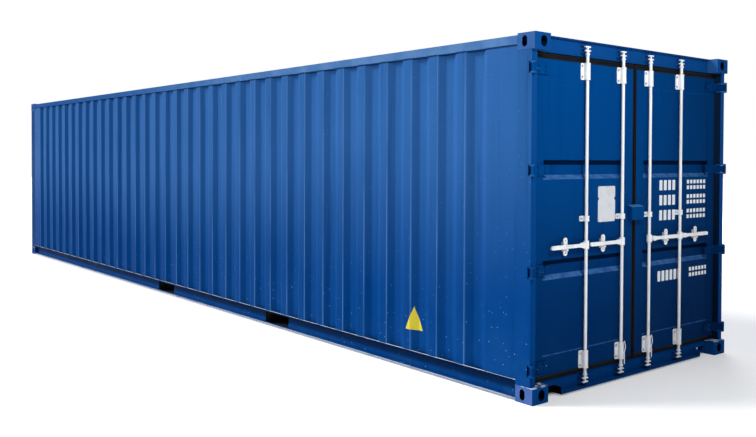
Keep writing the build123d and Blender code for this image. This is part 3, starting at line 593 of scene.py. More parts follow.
# %% The blue paints
deep_blue = colour(0, 60, 124)
pale_blue = colour(50, 100, 162)
frame_pale_blue = colour(46, 96, 154)
leaf_colours = (colour(0, 47, 100), colour(0, 68, 134))
wall_blue = blue_paint("blue_wall_paint", deep_blue, pale_blue, 0.3, 0.08, sheet_highlight_and_shade)
frame_blue = blue_paint("blue_frame_paint", deep_blue, frame_pale_blue, 0.4, 0.15, frame_shade)
rail_blue = blue_paint("blue_rail_paint", deep_blue, frame_pale_blue, 0.5, 0.16, rail_highlight_and_shade)
top_rail_blue = blue_paint("blue_top_rail_paint", deep_blue, frame_pale_blue, 0.4, 0.15, top_rail_tones)
casting_blue = blue_paint("blue_casting_paint", deep_blue, frame_pale_blue, 0.5, 0.2, casting_wear_and_shade)
sill_blue = blue_paint("blue_sill_paint", deep_blue, frame_pale_blue, 0.4, 0.15, sill_shade)
post_blue = blue_paint("blue_post_paint", deep_blue, frame_pale_blue, 0.4, 0.15, post_shade)
door_blue = blue_paint("blue_door_paint", *leaf_colours, 0.2, 0.06, door_dust_and_light, 1.0)
hood_blue = blue_paint("blue_hood_paint", *leaf_colours, 0.2, 0.06, hood_light, 1.0)
print("blue paints:", [paint.name for paint in bpy.data.materials if paint.name.startswith("blue_")])

# %% [markdown]
# ## White paint of the locking gear
# The bars, cams, brackets and handles are galvanised and painted white, so the
# paint is thinner, with grey scuffs where hands and keepers rub it and a little
# grime in streaks below each bracket.

# %% White paint
gear = Finish("white_gear_paint")
scuff = gear.span(gear.noise(14.0, 6.0, (1.0, 1.0, 0.4), 0.6), 0.56, 0.72, 0.0, 0.5)
grime = gear.span(gear.noise(3.0, 4.0, (4.0, 4.0, 0.7)), 0.5, 0.8, 0.0, 0.35)
coat = gear.mix(scuff, colour(249, 251, 253), colour(196, 204, 210))
coat = gear.mix(grime, coat, colour(204, 202, 192))
chip = gear.span(gear.noise(70.0, 3.0), 0.70, 0.74, 0.0, 0.8)
coat = gear.mix(chip, coat, colour(120, 104, 92))
gear.set(Base_Color=coat, Roughness=gear.span(scuff, 0.0, 0.5, 0.34, 0.55))
gear.set(Normal=gear.bump(gear.noise(160.0, 2.0), 0.2, 0.0006))
white_paint = gear.material
print("finish:", white_paint.name)

# %% [markdown]
# ## Rubber, plywood, underseal, plate, yellow film and zinc
# The other finishes are simpler. Rubber is nearly black with a dusty bloom. The
# floor is oiled plywood in sheets, with grain along the box. The members under
# it are sealed black. The plate is dull aluminium, the triangle a satin film,
# and the bolts are zinc.

# %% Rubber
rubber = Finish("black_seal_rubber")
bloom = rubber.span(rubber.noise(9.0, 6.0), 0.45, 0.75, 0.0, 0.25)
rubber.set(Base_Color=rubber.mix(bloom, colour(7, 8, 11), colour(36, 38, 42)))
rubber.set(Specular_IOR_Level=0.2)
rubber.set(Roughness=rubber.span(bloom, 0.0, 0.35, 0.55, 0.8))
rubber.set(Normal=rubber.bump(rubber.noise(220.0, 2.0), 0.25, 0.0005))
seal_rubber = rubber.material
print("finish:", seal_rubber.name)

# %% Oiled plywood
SHEET_LENGTH, SHEET_WIDTH, SHEET_JOINT = 2.4, 1.16, 0.003
wood = Finish("oiled_plywood")
sheets = wood.nodes.new("ShaderNodeTexBrick")
wood.links.new(wood.place, sheets.inputs["Vector"])
sheets.offset = 0.5
for label, number in (
    ("Scale", 1.0), ("Mortar Size", SHEET_JOINT),
    ("Brick Width", SHEET_LENGTH), ("Row Height", SHEET_WIDTH),
):
    sheets.inputs[label].default_value = number
sheets.inputs["Color1"].default_value = colour(150, 104, 66)
sheets.inputs["Color2"].default_value = colour(128, 84, 52)
sheets.inputs["Mortar"].default_value = colour(44, 32, 26)
grain = wood.span(wood.noise(3.0, 7.0, (1.2, 26.0, 1.0), 0.62), 0.36, 0.66, 0.0, 0.55)
boards = wood.mix(grain, sheets.outputs["Color"], colour(92, 58, 36))
wear = wood.span(wood.noise(1.6, 5.0, (0.5, 2.0, 1.0)), 0.52, 0.76, 0.0, 0.45)
boards = wood.mix(wear, boards, colour(118, 106, 94))
wood.set(Base_Color=boards, Roughness=wood.span(grain, 0.0, 0.55, 0.46, 0.68))
wood.set(Normal=wood.bump(grain, 0.18, 0.001))
plywood = wood.material
print("finish:", plywood.name)

# %% Underseal
seal = Finish("black_underseal")
mud = seal.span(seal.noise(6.0, 7.0), 0.5, 0.72, 0.0, 0.5)
seal.set(Base_Color=seal.mix(mud, colour(26, 27, 30), colour(84, 77, 66)))
seal.set(Roughness=seal.span(mud, 0.0, 0.5, 0.6, 0.9))
seal.set(Normal=seal.bump(seal.noise(60.0, 4.0), 0.5, 0.002))
underseal = seal.material
print("finish:", underseal.name)

# %% Aluminium of the plate
plate = Finish("dull_aluminium_plate")
brushed = plate.noise(5.0, 4.0, (1.0, 1.5, 90.0))
stain = plate.span(plate.noise(12.0, 5.0), 0.5, 0.75, 0.0, 0.35)
plate.set(Base_Color=plate.mix(stain, colour(226, 230, 234), colour(184, 188, 192)))
plate.set(Roughness=plate.span(brushed, 0.3, 0.7, 0.38, 0.56), Metallic=0.25)
plate.set(Normal=plate.bump(brushed, 0.1, 0.0004))
plate_metal = plate.material
print("finish:", plate_metal.name)

# %% Yellow film and stencil paint
film = Finish("yellow_film")
rub = film.span(film.noise(22.0, 6.0), 0.55, 0.75, 0.0, 0.4)
film.set(Base_Color=film.mix(rub, colour(216, 198, 28), colour(184, 166, 56)))
film.set(Roughness=film.span(rub, 0.0, 0.4, 0.4, 0.6))
film.set(Normal=film.bump(film.noise(90.0, 2.0), 0.15, 0.0004))
yellow_film = film.material

mark = Finish("white_stencil_paint")
thin = mark.span(mark.noise(30.0, 6.0, None, 0.7), 0.60, 0.76, 0.0, 0.5)
mark.set(Base_Color=mark.mix(thin, colour(232, 240, 246), colour(96, 136, 178)))
mark.set(Roughness=mark.span(thin, 0.0, 0.5, 0.42, 0.6))
stencil_white = mark.material
print("finishes:", yellow_film.name, stencil_white.name)

# %% Zinc
zinc = Finish("zinc_plated_steel")
bloomed = zinc.span(zinc.noise(90.0, 3.0), 0.4, 0.7, 0.0, 0.6)
zinc.set(Base_Color=zinc.mix(bloomed, colour(206, 208, 210), colour(150, 152, 154)))
zinc.set(Roughness=zinc.span(bloomed, 0.0, 0.6, 0.3, 0.5), Metallic=0.8)
zinc_steel = zinc.material
print("finish:", zinc_steel.name)

# %% [markdown]
# ## The paint of the studio floor
# The floor glows a little by itself, more towards its edges, so that it runs out
# into the white surroundings. Under the container it carries a painted shadow, and
# the paint of the container sees only part of the glow, which keeps the blue deep
# from below.

# %% Paint of the studio floor
SHADE_X, SHADE_Y = (5.92, 6.02), (1.12, 1.20)
ground = Finish("studio_floor_paint")
paper = ground.mix(ground.noise(0.6, 2.0), colour(244, 245, 246), colour(238, 240, 242))
# Painted shadow on the floor under the container.
under = ground.times(ground.span(ground.math("ABSOLUTE", ground.axis("X")), *SHADE_X, 1.0, 0.0),
                     ground.span(ground.math("ABSOLUTE", ground.axis("Y")), *SHADE_Y, 1.0, 0.0))
ground.set(Base_Color=ground.mix(under, paper, colour(40, 40, 42)))
ground.set(Roughness=0.7, Specular_IOR_Level=0.2, Emission_Color=(1.0, 1.0, 1.0, 1.0))
reach = ground.nodes.new("ShaderNodeVectorMath")
reach.operation = "LENGTH"
ground.links.new(ground.stretched((0.11, 0.2, 0.0)), reach.inputs[0])
lit = ground.span(reach.outputs["Value"], 0.8, 2.6, 0.30, 0.80)
lit = ground.times(lit, ground.math("SUBTRACT", 1.0, under))
to_camera = ground.nodes.new("ShaderNodeLightPath").outputs["Is Camera Ray"]
ground.set(Emission_Strength=ground.times(lit, ground.span(to_camera, 0.0, 1.0, 0.25, 1.0)))
floor_mesh.materials.append(ground.material)
print("materials:", len(bpy.data.materials))

# %% [markdown]
# ## Paint on the measured nodes
# Most of the frame is already the right shape: castings, posts, rails, leaves,
# hinges and locking gear. Such a node only needs its finish, which goes into its
# material slot. Blue steel at the doors uses the slightly deeper door paint.

# %% Give every measured node its finish


def finish_for(node):
    """The finish that a measured node carries on the real container."""
    if node == "floor_boards":
        return plywood
    if node in ("cross_members", "fork_pockets"):
        return underseal
    if node.endswith("gasket"):
        return seal_rubber
    if node.startswith(("locking_bar", "handle_")):
        return white_paint
    if node.endswith(("bar_brackets", "handle_catches")):
        return white_paint
    if node.startswith("bottom_side_rail"):
        return rail_blue
    if node.startswith("top_side_rail"):
        return top_rail_blue
    if node.startswith("corner_fittings"):
        return casting_blue
    if node.startswith("rear_corner_post"):
        return post_blue
    if node == "door_sill":
        return sill_blue
    if "_door_" in node:
        return door_blue
    if node.startswith(("side_wall", "front_end_wall", "roof")):
        return wall_blue
    return frame_blue


for node, item in frame["nodes"].items():
    item.data.materials.clear()
    item.data.materials.append(finish_for(node))
print("painted nodes:", len(frame["nodes"]))

# %% [markdown]
# ## A small kit for geometry nodes
# What repeats on a container, or follows a rule, is made by a node tree: the
# pressed waves, the bolts, the welds.

# %% Geometry nodes kit
KINDS = {
    "size": "NodeSocketFloat", "number": "NodeSocketInt", "vector": "NodeSocketVector",
    "finish": "NodeSocketMaterial",
}


class Rule:
    """A geometry nodes tree with named inputs."""

    def __init__(self, name, **inputs):
        self.tree = bpy.data.node_groups.new(name, "GeometryNodeTree")
        self.tree.is_modifier = True
        face = self.tree.interface
        face.new_socket("Geometry", in_out="INPUT", socket_type="NodeSocketGeometry")
        self.keys = {}
        for label, kind in inputs.items():
            socket = face.new_socket(label, in_out="INPUT", socket_type=KINDS[kind])
            self.keys[label] = socket.identifier
        face.new_socket("Geometry", in_out="OUTPUT", socket_type="NodeSocketGeometry")
        self.given = self.tree.nodes.new("NodeGroupInput").outputs
        self.result = self.tree.nodes.new("NodeGroupOutput").inputs[0]

    def add(self, kind, inputs=(), **settings):
        """A node with its settings and its inputs, given by name or by number."""
        node = self.tree.nodes.new(kind)
        for name, value in settings.items():
            setattr(node, name, value)
        for key, value in dict(inputs).items():
            if isinstance(value, bpy.types.NodeSocket):
                self.tree.links.new(value, node.inputs[key])
            else:
                node.inputs[key].default_value = value
        return node

    def math(self, operation, a, b=0.0, c=0.0):
        """One sum of values or numbers."""
        return self.add("ShaderNodeMath", {0: a, 1: b, 2: c}, operation=operation).outputs[0]

    def close(self, shape, finish):
        """The usual end of a tree: real geometry with its finish."""
        real = self.add("GeometryNodeRealizeInstances", {"Geometry": shape}).outputs[0]
        done = self.add("GeometryNodeSetMaterial", {"Geometry": real, "Material": finish})
        self.tree.links.new(done.outputs[0], self.result)


def link_mesh(name, mesh, body, slot_name, *replaced):
    """Puts a finished mesh into the scene, on its body."""
    piece = bpy.data.objects.new(name, mesh)
    scene.collection.objects.link(piece)
    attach(piece, body)
    if replaced:
        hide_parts(*replaced)
    mesh.calc_loop_triangles()
    print(name, len(mesh.loop_triangles), "triangles on", body)
    return piece


def grow(name, rule, body, slot_name, values, seed=None, replaced=()):
    """Runs a tree on a seed mesh and keeps what it makes as a plain mesh."""
    base = bpy.data.objects.new(name + "_seed", seed or bpy.data.meshes.new(name + "_seed"))
    scene.collection.objects.link(base)
    modifier = base.modifiers.new("rule", "NODES")
    modifier.node_group = rule.tree
    for label, value in values.items():
        modifier[rule.keys[label]] = value
    graph = bpy.context.evaluated_depsgraph_get()
    mesh = bpy.data.meshes.new_from_object(base.evaluated_get(graph), depsgraph=graph)
    mesh.name = name
    base.modifiers.clear()
    bpy.data.objects.remove(base)
    return link_mesh(name, mesh, body, slot_name, *replaced)


# %% [markdown]
# ## The pressed sheets
# The long sides, the front end and the roof are flat coils of steel pressed into
# waves, which is what makes such thin walls stiff. A press leaves rounded bends,
# not knife edges. The tree lays a grid over the sheet, pushes each point back by
# the depth of the wave, with a soft minimum and a soft maximum for the bends,
# then gives the sheet its thickness. It also marks the outer bend on the lit side of
# each wave with an attribute, where the paint carries a painted highlight. One tree
# serves all four, turned and placed by its inputs. The roof's waves also die out
# before the edges of the sheet, because they are stamped inside it.

# %% Pressed sheet tree: the wave
sheet_rule = Rule(
    "pressed_sheet", Length="size", Tall="size", Pitch="size", Flat="size", Slope="size",
    Depth="size", First="size", Count="number", Bend="size", Thickness="size", Columns="number",
    Rows="number", Crowding="size", Edge="size", Turn="vector", Place="vector", Finish="finish",
)
g, calc = sheet_rule.given, sheet_rule.math
grid = sheet_rule.add("GeometryNodeMeshGrid", {
    "Size X": g["Length"], "Size Y": 2.0, "Vertices X": g["Columns"], "Vertices Y": g["Rows"],
})
position = sheet_rule.add("GeometryNodeInputPosition").outputs[0]
where = sheet_rule.add("ShaderNodeSeparateXYZ", {0: position})
along, across = where.outputs[0], where.outputs[1]
s = calc("ADD", along, calc("MULTIPLY", g["Length"], 0.5))
from_first = calc("SUBTRACT", s, g["First"])
index = calc("FLOOR", calc("DIVIDE", from_first, g["Pitch"]))
index = calc("MINIMUM", calc("MAXIMUM", index, 0.0), calc("SUBTRACT", g["Count"], 1.0))
u = calc("SUBTRACT", from_first, calc("MULTIPLY", index, g["Pitch"]))
wide = calc("SUBTRACT", g["Pitch"], g["Flat"])
rise = calc("DIVIDE", calc("MINIMUM", u, calc("SUBTRACT", wide, u)), g["Slope"])
rise = calc("SMOOTH_MAX", calc("SMOOTH_MIN", rise, 1.0, g["Bend"]), 0.0, g["Bend"])

# %% Pressed sheet tree: the edges of the sheet
inward = calc("SUBTRACT", 1.0, calc("ABSOLUTE", across))
spread = calc("SUBTRACT", 1.0, calc("POWER", inward, g["Crowding"]))
half = calc("MULTIPLY", g["Tall"], 0.5)
high = calc("MULTIPLY", spread, half)
to_edge = calc("SUBTRACT", half, high)
fade = calc("DIVIDE", calc("ADD", to_edge, 0.0001), g["Edge"])
fade = calc("MULTIPLY", calc("SUBTRACT", fade, 0.6), 1.6)
fade = sheet_rule.add("ShaderNodeClamp", {0: fade}).outputs[0]
back = calc("ADD", calc("MULTIPLY", calc("MULTIPLY", rise, g["Depth"]), fade), g["Thickness"])
signed = calc("MULTIPLY", high, calc("SIGN", across))
spot = sheet_rule.add("ShaderNodeCombineXYZ", {0: along, 1: signed, 2: calc("MULTIPLY", back, -1.0)})

# %% Pressed sheet tree: the painted highlight on the bends
BEND_RISE = 0.075
# Mask for a painted highlight on the outer bend on the lit side of each wave.
off_bend = calc("ABSOLUTE", calc("SUBTRACT", rise, BEND_RISE))
bend_highlight = sheet_rule.add("ShaderNodeMapRange", {0: off_bend, 1: 0.02, 2: 0.07, 3: 1.0, 4: 0.0}).outputs[0]
lit_side = calc("LESS_THAN", u, calc("MULTIPLY", wide, 0.5))
marked = sheet_rule.add("GeometryNodeStoreNamedAttribute", {
    "Geometry": grid.outputs[0], "Name": "bend_highlight", "Value": calc("MULTIPLY", bend_highlight, lit_side),
}, data_type="FLOAT", domain="POINT")

# %% Pressed sheet tree: thickness, edges and place
MERGE, CREASE = 0.00005, 0.7
inner = sheet_rule.add("GeometryNodeSetPosition", {
    "Geometry": marked.outputs[0], "Position": spot.outputs[0],
})
outer = sheet_rule.add("GeometryNodeExtrudeMesh", {
    "Mesh": inner.outputs[0], "Offset": (0.0, 0.0, 1.0), "Offset Scale": g["Thickness"],
    "Individual": False,
}, mode="FACES")
turned = sheet_rule.add("GeometryNodeFlipFaces", {"Mesh": inner.outputs[0]})
both = sheet_rule.add("GeometryNodeJoinGeometry")
sheet_rule.tree.links.new(outer.outputs[0], both.inputs[0])
sheet_rule.tree.links.new(turned.outputs[0], both.inputs[0])
whole = sheet_rule.add("GeometryNodeMergeByDistance", {"Geometry": both.outputs[0], "Distance": MERGE})
smooth = sheet_rule.add("GeometryNodeSetShadeSmooth", {
    "Geometry": whole.outputs[0], "Shade Smooth": True,
})
angle = sheet_rule.add("GeometryNodeInputMeshEdgeAngle").outputs[0]
sharp = sheet_rule.add("GeometryNodeSetShadeSmooth", {
    "Geometry": smooth.outputs[0], "Selection": calc("GREATER_THAN", angle, CREASE),
    "Shade Smooth": False,
}, domain="EDGE")
placed = sheet_rule.add("GeometryNodeTransform", {
    "Geometry": sharp.outputs[0], "Translation": g["Place"], "Rotation": g["Turn"],
})
sheet_rule.close(placed.outputs[0], g["Finish"])
print("nodes in the sheet tree:", len(sheet_rule.tree.nodes))

# %% The four pressed sheets
QUARTER = math.pi / 2
SHEET_BEND, SHEET_THICKNESS = 0.16, 0.002
NO_CROWDING, NO_EDGE = 1.0, 0.00001


def pressed(name, node, wave, size, grid_size, turn_to, place, crowding=NO_CROWDING, edge_run=NO_EDGE):
    """One pressed sheet in place of its measured node."""
    (length, tall), (columns, rows) = size, grid_size
    count, first = wave_start(length, wave)
    return grow(name, sheet_rule, "container", "blue_paint", {
        "Length": length, "Tall": tall, "Pitch": wave["pitch"], "Flat": wave["flat"],
        "Slope": wave["slope"], "Depth": wave["depth"], "First": first, "Count": count,
        "Bend": SHEET_BEND, "Thickness": SHEET_THICKNESS, "Columns": columns, "Rows": rows,
        "Crowding": crowding, "Edge": edge_run, "Turn": turn_to, "Place": place,
        "Finish": wall_blue,
    }, replaced=(node,))


wall_mid = (WALL_LOW + WALL_HIGH) / 2
wall_size = (WALL_LENGTH, WALL_HIGH - WALL_LOW)
for side, sign, heading in (("left", -1, 0.0), ("right", 1, math.pi)):
    pressed(f"pressed_side_{side}", f"side_wall_{side}", SIDE_WAVE, wall_size, (1480, 9),
            (QUARTER, 0.0, heading), (0.0, sign * SIDE_OUTER, wall_mid))

low, high = box_of("front_end_wall")
end_size = (high[1] - low[1], high[2] - low[2])
pressed("pressed_front_end", "front_end_wall", END_WAVE, end_size, (620, 7),
        (QUARTER, 0.0, -QUARTER), (low[0], 0.0, (low[2] + high[2]) / 2))

low, high = box_of("roof_panel")
roof_size = (high[0] - low[0], high[1] - low[1])
pressed("pressed_roof", "roof_panel", ROOF_WAVE, roof_size, (1900, 15),
        (0.0, 0.0, 0.0), ((low[0] + high[0]) / 2, 0.0, high[2]), crowding=2.2, edge_run=0.050)

# %% [markdown]
# ## Weld beads
# Each wall is welded to its rails right along the wave, and the posts to their
# castings. A bead is a string of small overlapping scales, so the tree sweeps a
# small circle along the seam with a radius that swells and shrinks.

# %% Weld bead tree
weld_rule = Rule("weld_bead", Radius="size", Ripple="size", Step="size", Finish="finish")
g = weld_rule.given
seam = weld_rule.add("GeometryNodeMeshToCurve", {"Mesh": g["Geometry"]})
even = weld_rule.add(
    "GeometryNodeResampleCurve", {"Curve": seam.outputs[0], "Length": g["Step"]}, mode="LENGTH"
)
swell = weld_rule.add("ShaderNodeTexNoise", {"Scale": 70.0, "Detail": 1.0})
swell = weld_rule.math("MULTIPLY_ADD", swell.outputs[0], g["Ripple"], g["Radius"])
ring = weld_rule.add("GeometryNodeCurvePrimitiveCircle", {"Resolution": 6, "Radius": 1.0})
bead = weld_rule.add("GeometryNodeCurveToMesh", {
    "Curve": even.outputs[0], "Profile Curve": ring.outputs[0], "Scale": swell, "Fill Caps": True,
})
soft = weld_rule.add("GeometryNodeSetShadeSmooth", {"Geometry": bead.outputs[0], "Shade Smooth": True})
weld_rule.close(soft.outputs[0], g["Finish"])
print("nodes in the weld tree:", len(weld_rule.tree.nodes))

# %% [markdown]
# ## Lines for the beads to follow
# A bead needs a seam to follow: a thin mesh of points and edges without faces. On a
# long wall the seam goes in and out with the wave, so its points stand where the
# slopes begin and end.

# %% Seam lines
SEAM_END = 0.02
SEAM_OUT, SEAM_IN = 0.0005, 0.001


def seam_mesh(name, lines):
    """A seed mesh of polylines."""
    points, edges = [], []
    for line in lines:
        base = len(points)
        points.extend(line)
        edges.extend((base + i, base + i + 1) for i in range(len(line) - 1))
    mesh = bpy.data.meshes.new(name)
    mesh.from_pydata(points, edges, [])
    return mesh


def wall_line(sign, z):
    """The seam of a long wall at one height."""
    count, first = wave_start(WALL_LENGTH, SIDE_WAVE)
    run, slope = SIDE_WAVE["pitch"] - SIDE_WAVE["flat"], SIDE_WAVE["slope"]
    stops = [SEAM_END]
    for n in range(count):
        start = first + n * SIDE_WAVE["pitch"]
        stops += [start, start + slope, start + run - slope, start + run]
    stops.append(WALL_LENGTH - SEAM_END)
    line = []
    for t in stops:
        behind = wave_depth(t, WALL_LENGTH, SIDE_WAVE)
        line.append((t - WALL_END, sign * (SIDE_OUTER - behind + SEAM_OUT), z))
    return line


# %% The wall welds
wall_seams = [wall_line(sign, z) for sign in (-1, 1) for z in (WALL_LOW + SEAM_IN, WALL_HIGH - SEAM_IN)]
grow("wall_welds", weld_rule, "container", "blue_paint", {
    "Radius": 0.0022, "Ripple": 0.0024, "Step": 0.014, "Finish": wall_blue,
}, seed=seam_mesh("wall_seams", wall_seams))

# %% The casting and post welds
POST_BEAD_IN = 0.0022
post_seams = []
for node in ("rear_corner_post_right", "front_corner_post_right"):
    low, high = box_of(node)
    face_x, back_x = (high[0], low[0]) if node.startswith("rear") else (low[0], high[0])
    for sign in (-1, 1):
        outer_y, inner_y = sign * (high[1] - POST_BEAD_IN), sign * low[1]
        for z in (low[2] + SEAM_IN, high[2] - SEAM_IN):
            post_seams.append([(back_x, outer_y, z), (face_x, outer_y, z), (face_x, inner_y, z)])
grow("post_welds", weld_rule, "container", "blue_paint", {
    "Radius": 0.0026, "Ripple": 0.0026, "Step": 0.010, "Finish": frame_blue,
}, seed=seam_mesh("post_seams", post_seams))

# %% The leaf welds
for body, sign in DOORS:
    near_y, far_y, bead_x = sign * PANEL_INNER, sign * PANEL_OUTER, PANEL_FRONT + SEAM_OUT
    leaf_seams = [[(bead_x, near_y, z), (bead_x, far_y, z)] for z in (PANEL_LOW, PANEL_HIGH)]
    grow(f"{body}_welds", weld_rule, body, "blue_paint", {
        "Radius": 0.0020, "Ripple": 0.0016, "Step": 0.012, "Finish": frame_blue,
    }, seed=seam_mesh("leaf_seams", leaf_seams))

# %% [markdown]
# ## Bolts and screws
# The brackets and the hinge blades are bolted to the leaves, the long sleeves have
# round plugs in their sides, the plate is riveted and the plywood is screwed down.
# One tree puts the same small head on every point of a seed mesh. Each point carries
# the direction that its face looks in, and each head gets its own turn about it.

# %% Fastener tree
bolt_rule = Rule(
    "fasteners", Radius="size", Height="size", Sides="number", Washer="size", Lift="size",
    Seed="number", Finish="finish",
)
g = bolt_rule.given


def upright(vertices, radius, depth, middle):
    """A small cylinder of the fastener tree, with its middle lifted."""
    post = bolt_rule.add("GeometryNodeMeshCylinder", {
        "Vertices": vertices, "Radius": radius, "Depth": depth,
    })
    raised = bolt_rule.add("ShaderNodeCombineXYZ", {2: middle})
    return bolt_rule.add("GeometryNodeTransform", {
        "Geometry": post.outputs[0], "Translation": raised.outputs[0],
    })


WASHER_SIDES = 14
head_middle = bolt_rule.math("MULTIPLY_ADD", g["Height"], 0.5, g["Lift"])
head = upright(g["Sides"], g["Radius"], g["Height"], head_middle)
disc = upright(WASHER_SIDES, g["Washer"], g["Lift"], bolt_rule.math("MULTIPLY", g["Lift"], 0.5))
pair = bolt_rule.add("GeometryNodeJoinGeometry")
bolt_rule.tree.links.new(head.outputs[0], pair.inputs[0])
bolt_rule.tree.links.new(disc.outputs[0], pair.inputs[0])
facing = bolt_rule.add("GeometryNodeInputNamedAttribute", {
    "Name": "facing",
}, data_type="FLOAT_VECTOR")
aim = bolt_rule.add("FunctionNodeAlignRotationToVector", {"Vector": facing.outputs[0]}, axis="Z")
chance = bolt_rule.add("FunctionNodeRandomValue", {
    2: 0.0, 3: math.tau, "Seed": g["Seed"],
}, data_type="FLOAT")
spin = bolt_rule.add("ShaderNodeCombineXYZ", {2: chance.outputs[1]})
spun = bolt_rule.add("FunctionNodeRotateRotation", {
    "Rotation": aim.outputs[0], "Rotate By": spin.outputs[0],
}, rotation_space="LOCAL")
many = bolt_rule.add("GeometryNodeInstanceOnPoints", {
    "Points": g["Geometry"], "Instance": pair.outputs[0], "Rotation": spun.outputs[0],
})
bolt_rule.close(many.outputs[0], g["Finish"])
print("nodes in the fastener tree:", len(bolt_rule.tree.nodes))

# %% Kit for fasteners


def dots(name, spots):
    """A seed mesh of points, each with the direction that it faces."""
    mesh = bpy.data.meshes.new(name)
    mesh.from_pydata([place for place, _ in spots], [], [])
    layer = mesh.attributes.new("facing", "FLOAT_VECTOR", "POINT")
    for item, (_, way) in zip(layer.data, spots):
        item.vector = way
    return mesh


def bolts(name, body, slot_name, spots, finish, radius=0.009, height=0.006, washer=0.013, sides=6,
          lift=0.002, turn_seed=3):
    """One head on every spot, on its washer. The lift is the thickness of the washer."""
    return grow(name, bolt_rule, body, slot_name, {
        "Radius": radius, "Height": height, "Sides": sides, "Washer": washer, "Lift": lift,
        "Seed": turn_seed, "Finish": finish,
    }, seed=dots(name + "_spots", spots))


# %% Bolts on the doors
EAST, UP = (1.0, 0.0, 0.0), (0.0, 0.0, 1.0)
HINGE_HEIGHTS = (0.232, 0.920, 1.632, 2.348)
BLADE_FRONT, FOOT_FRONT = LEAF_FRONT + 0.012, LEAF_FRONT + 0.006
BLADE_BOLT_INSETS, BLADE_BOLT_RISE = (0.100, 0.172), 0.018
SLEEVES = ((0.221, 0.130), (1.270, 0.040), (2.361, 0.124))
LONG_SLEEVE = 0.1
FOOT_BOLT_SIDE, FOOT_BOLT_INSET = 0.038, 0.022
for body, sign in DOORS:
    blade_spots = [
        ((BLADE_FRONT, sign * (PIN_Y - inset), z + rise), EAST)
        for z in HINGE_HEIGHTS for inset in BLADE_BOLT_INSETS
        for rise in (BLADE_BOLT_RISE, -BLADE_BOLT_RISE)
    ]
    bolts(f"{body}_hinge_bolts", body, "blue_paint", blade_spots, door_blue,
          radius=0.008, height=0.005, washer=0.011)
    foot_spots = []
    for offset in BAR_OFFSETS:
        for z, tall in SLEEVES:
            inset = tall / 2 - FOOT_BOLT_INSET
            rises = (-inset, inset) if tall > LONG_SLEEVE else (0.0,)
            foot_y = sign * offset - FOOT_BOLT_SIDE
            foot_spots += [((FOOT_FRONT, foot_y, z + rise), EAST) for rise in rises]
    bolts(f"{body}_bracket_bolts", body, "white_paint", foot_spots, zinc_steel,
          radius=0.007, height=0.005, washer=0.010)

# %% Bush plugs on the sleeves
SLEEVE_SIDE = 0.0214
for body, sign in DOORS:
    plug_spots = [
        ((BAR_X, sign * offset + SLEEVE_SIDE, z + rise), (0.0, 1.0, 0.0))
        for offset in BAR_OFFSETS for z, tall in SLEEVES if tall > LONG_SLEEVE
        for rise in (-tall / 4, tall / 4)
    ]
    bolts(f"{body}_bush_plugs", body, "door_rubber", plug_spots, seal_rubber,
          radius=0.006, height=0.004, washer=0.009, sides=10)

# %% [markdown]
# ## Slimmer rods, forked cams, a shallow gutter and a sloping hood
# The photograph shows slimmer rods than the measured bars, and cams that are forks:
# two cross arms on a thin stem. The gutter over the doors is a shallow lip there. These
# pieces start from the measured meshes, so all that they carry stays where it is. The
# rings of the rods are drawn in, the plates of the cams give way to forks, and the
# front edge of the gutter moves back. The two halves of the hood over the padlock get
# a sloping top and meet at the seam.

# %% Kit for reworked meshes
SPLIT, SHARP_ANGLE = 0.00001, 0.6


def measured_mesh(node):
    """A measured node's mesh at its place in the frame, with its split points joined."""
    work = bmesh.new()
    work.from_mesh(frame["nodes"][node].data)
    work.transform(frame["nodes"][node].matrix_world)
    bmesh.ops.remove_doubles(work, verts=work.verts, dist=SPLIT)
    return work


def reworked(name, work, finish):
    """Ends the work: outward faces, smooth round parts and crisp edges."""
    bmesh.ops.recalc_face_normals(work, faces=work.faces)
    for face in work.faces:
        face.smooth = True
    for line in work.edges:
        line.smooth = line.calc_face_angle(0.0) < SHARP_ANGLE
    mesh = bpy.data.meshes.new(name)
    work.to_mesh(mesh)
    work.free()
    mesh.materials.clear()
    mesh.materials.append(finish)
    return mesh


def add_block(work, centre, half, bevel=0.0):
    """A box round a centre, with its edges broken."""
    place = Matrix.Translation(centre) @ Matrix.Diagonal((*(2 * Vector(half)), 1.0))
    made = bmesh.ops.create_cube(work, size=1.0, matrix=place)
    if bevel:
        lines = {line for point in made["verts"] for line in point.link_edges}
        bmesh.ops.bevel(work, geom=list(lines), offset=bevel, segments=2, affect="EDGES", profile=0.5)


# %% The bars
ROD_R, MEASURED_ROD_R = 0.0124, 0.0170
COLLAR_R, MEASURED_COLLAR_R = 0.0180, 0.0220
ON_SURFACE = 0.0002
CAM_HEIGHTS, CAM_HALF = (0.065, 2.529), 0.010
ROD_STUB, STUB_START, COLLAR_REACH = 0.014, 0.008, 0.060
STEM_HALF = (0.006, 0.006, 0.018)
ARM_HALF, ARM_RISE, ARM_BEVEL = (0.010, 0.027, 0.005), 0.014, 0.0015


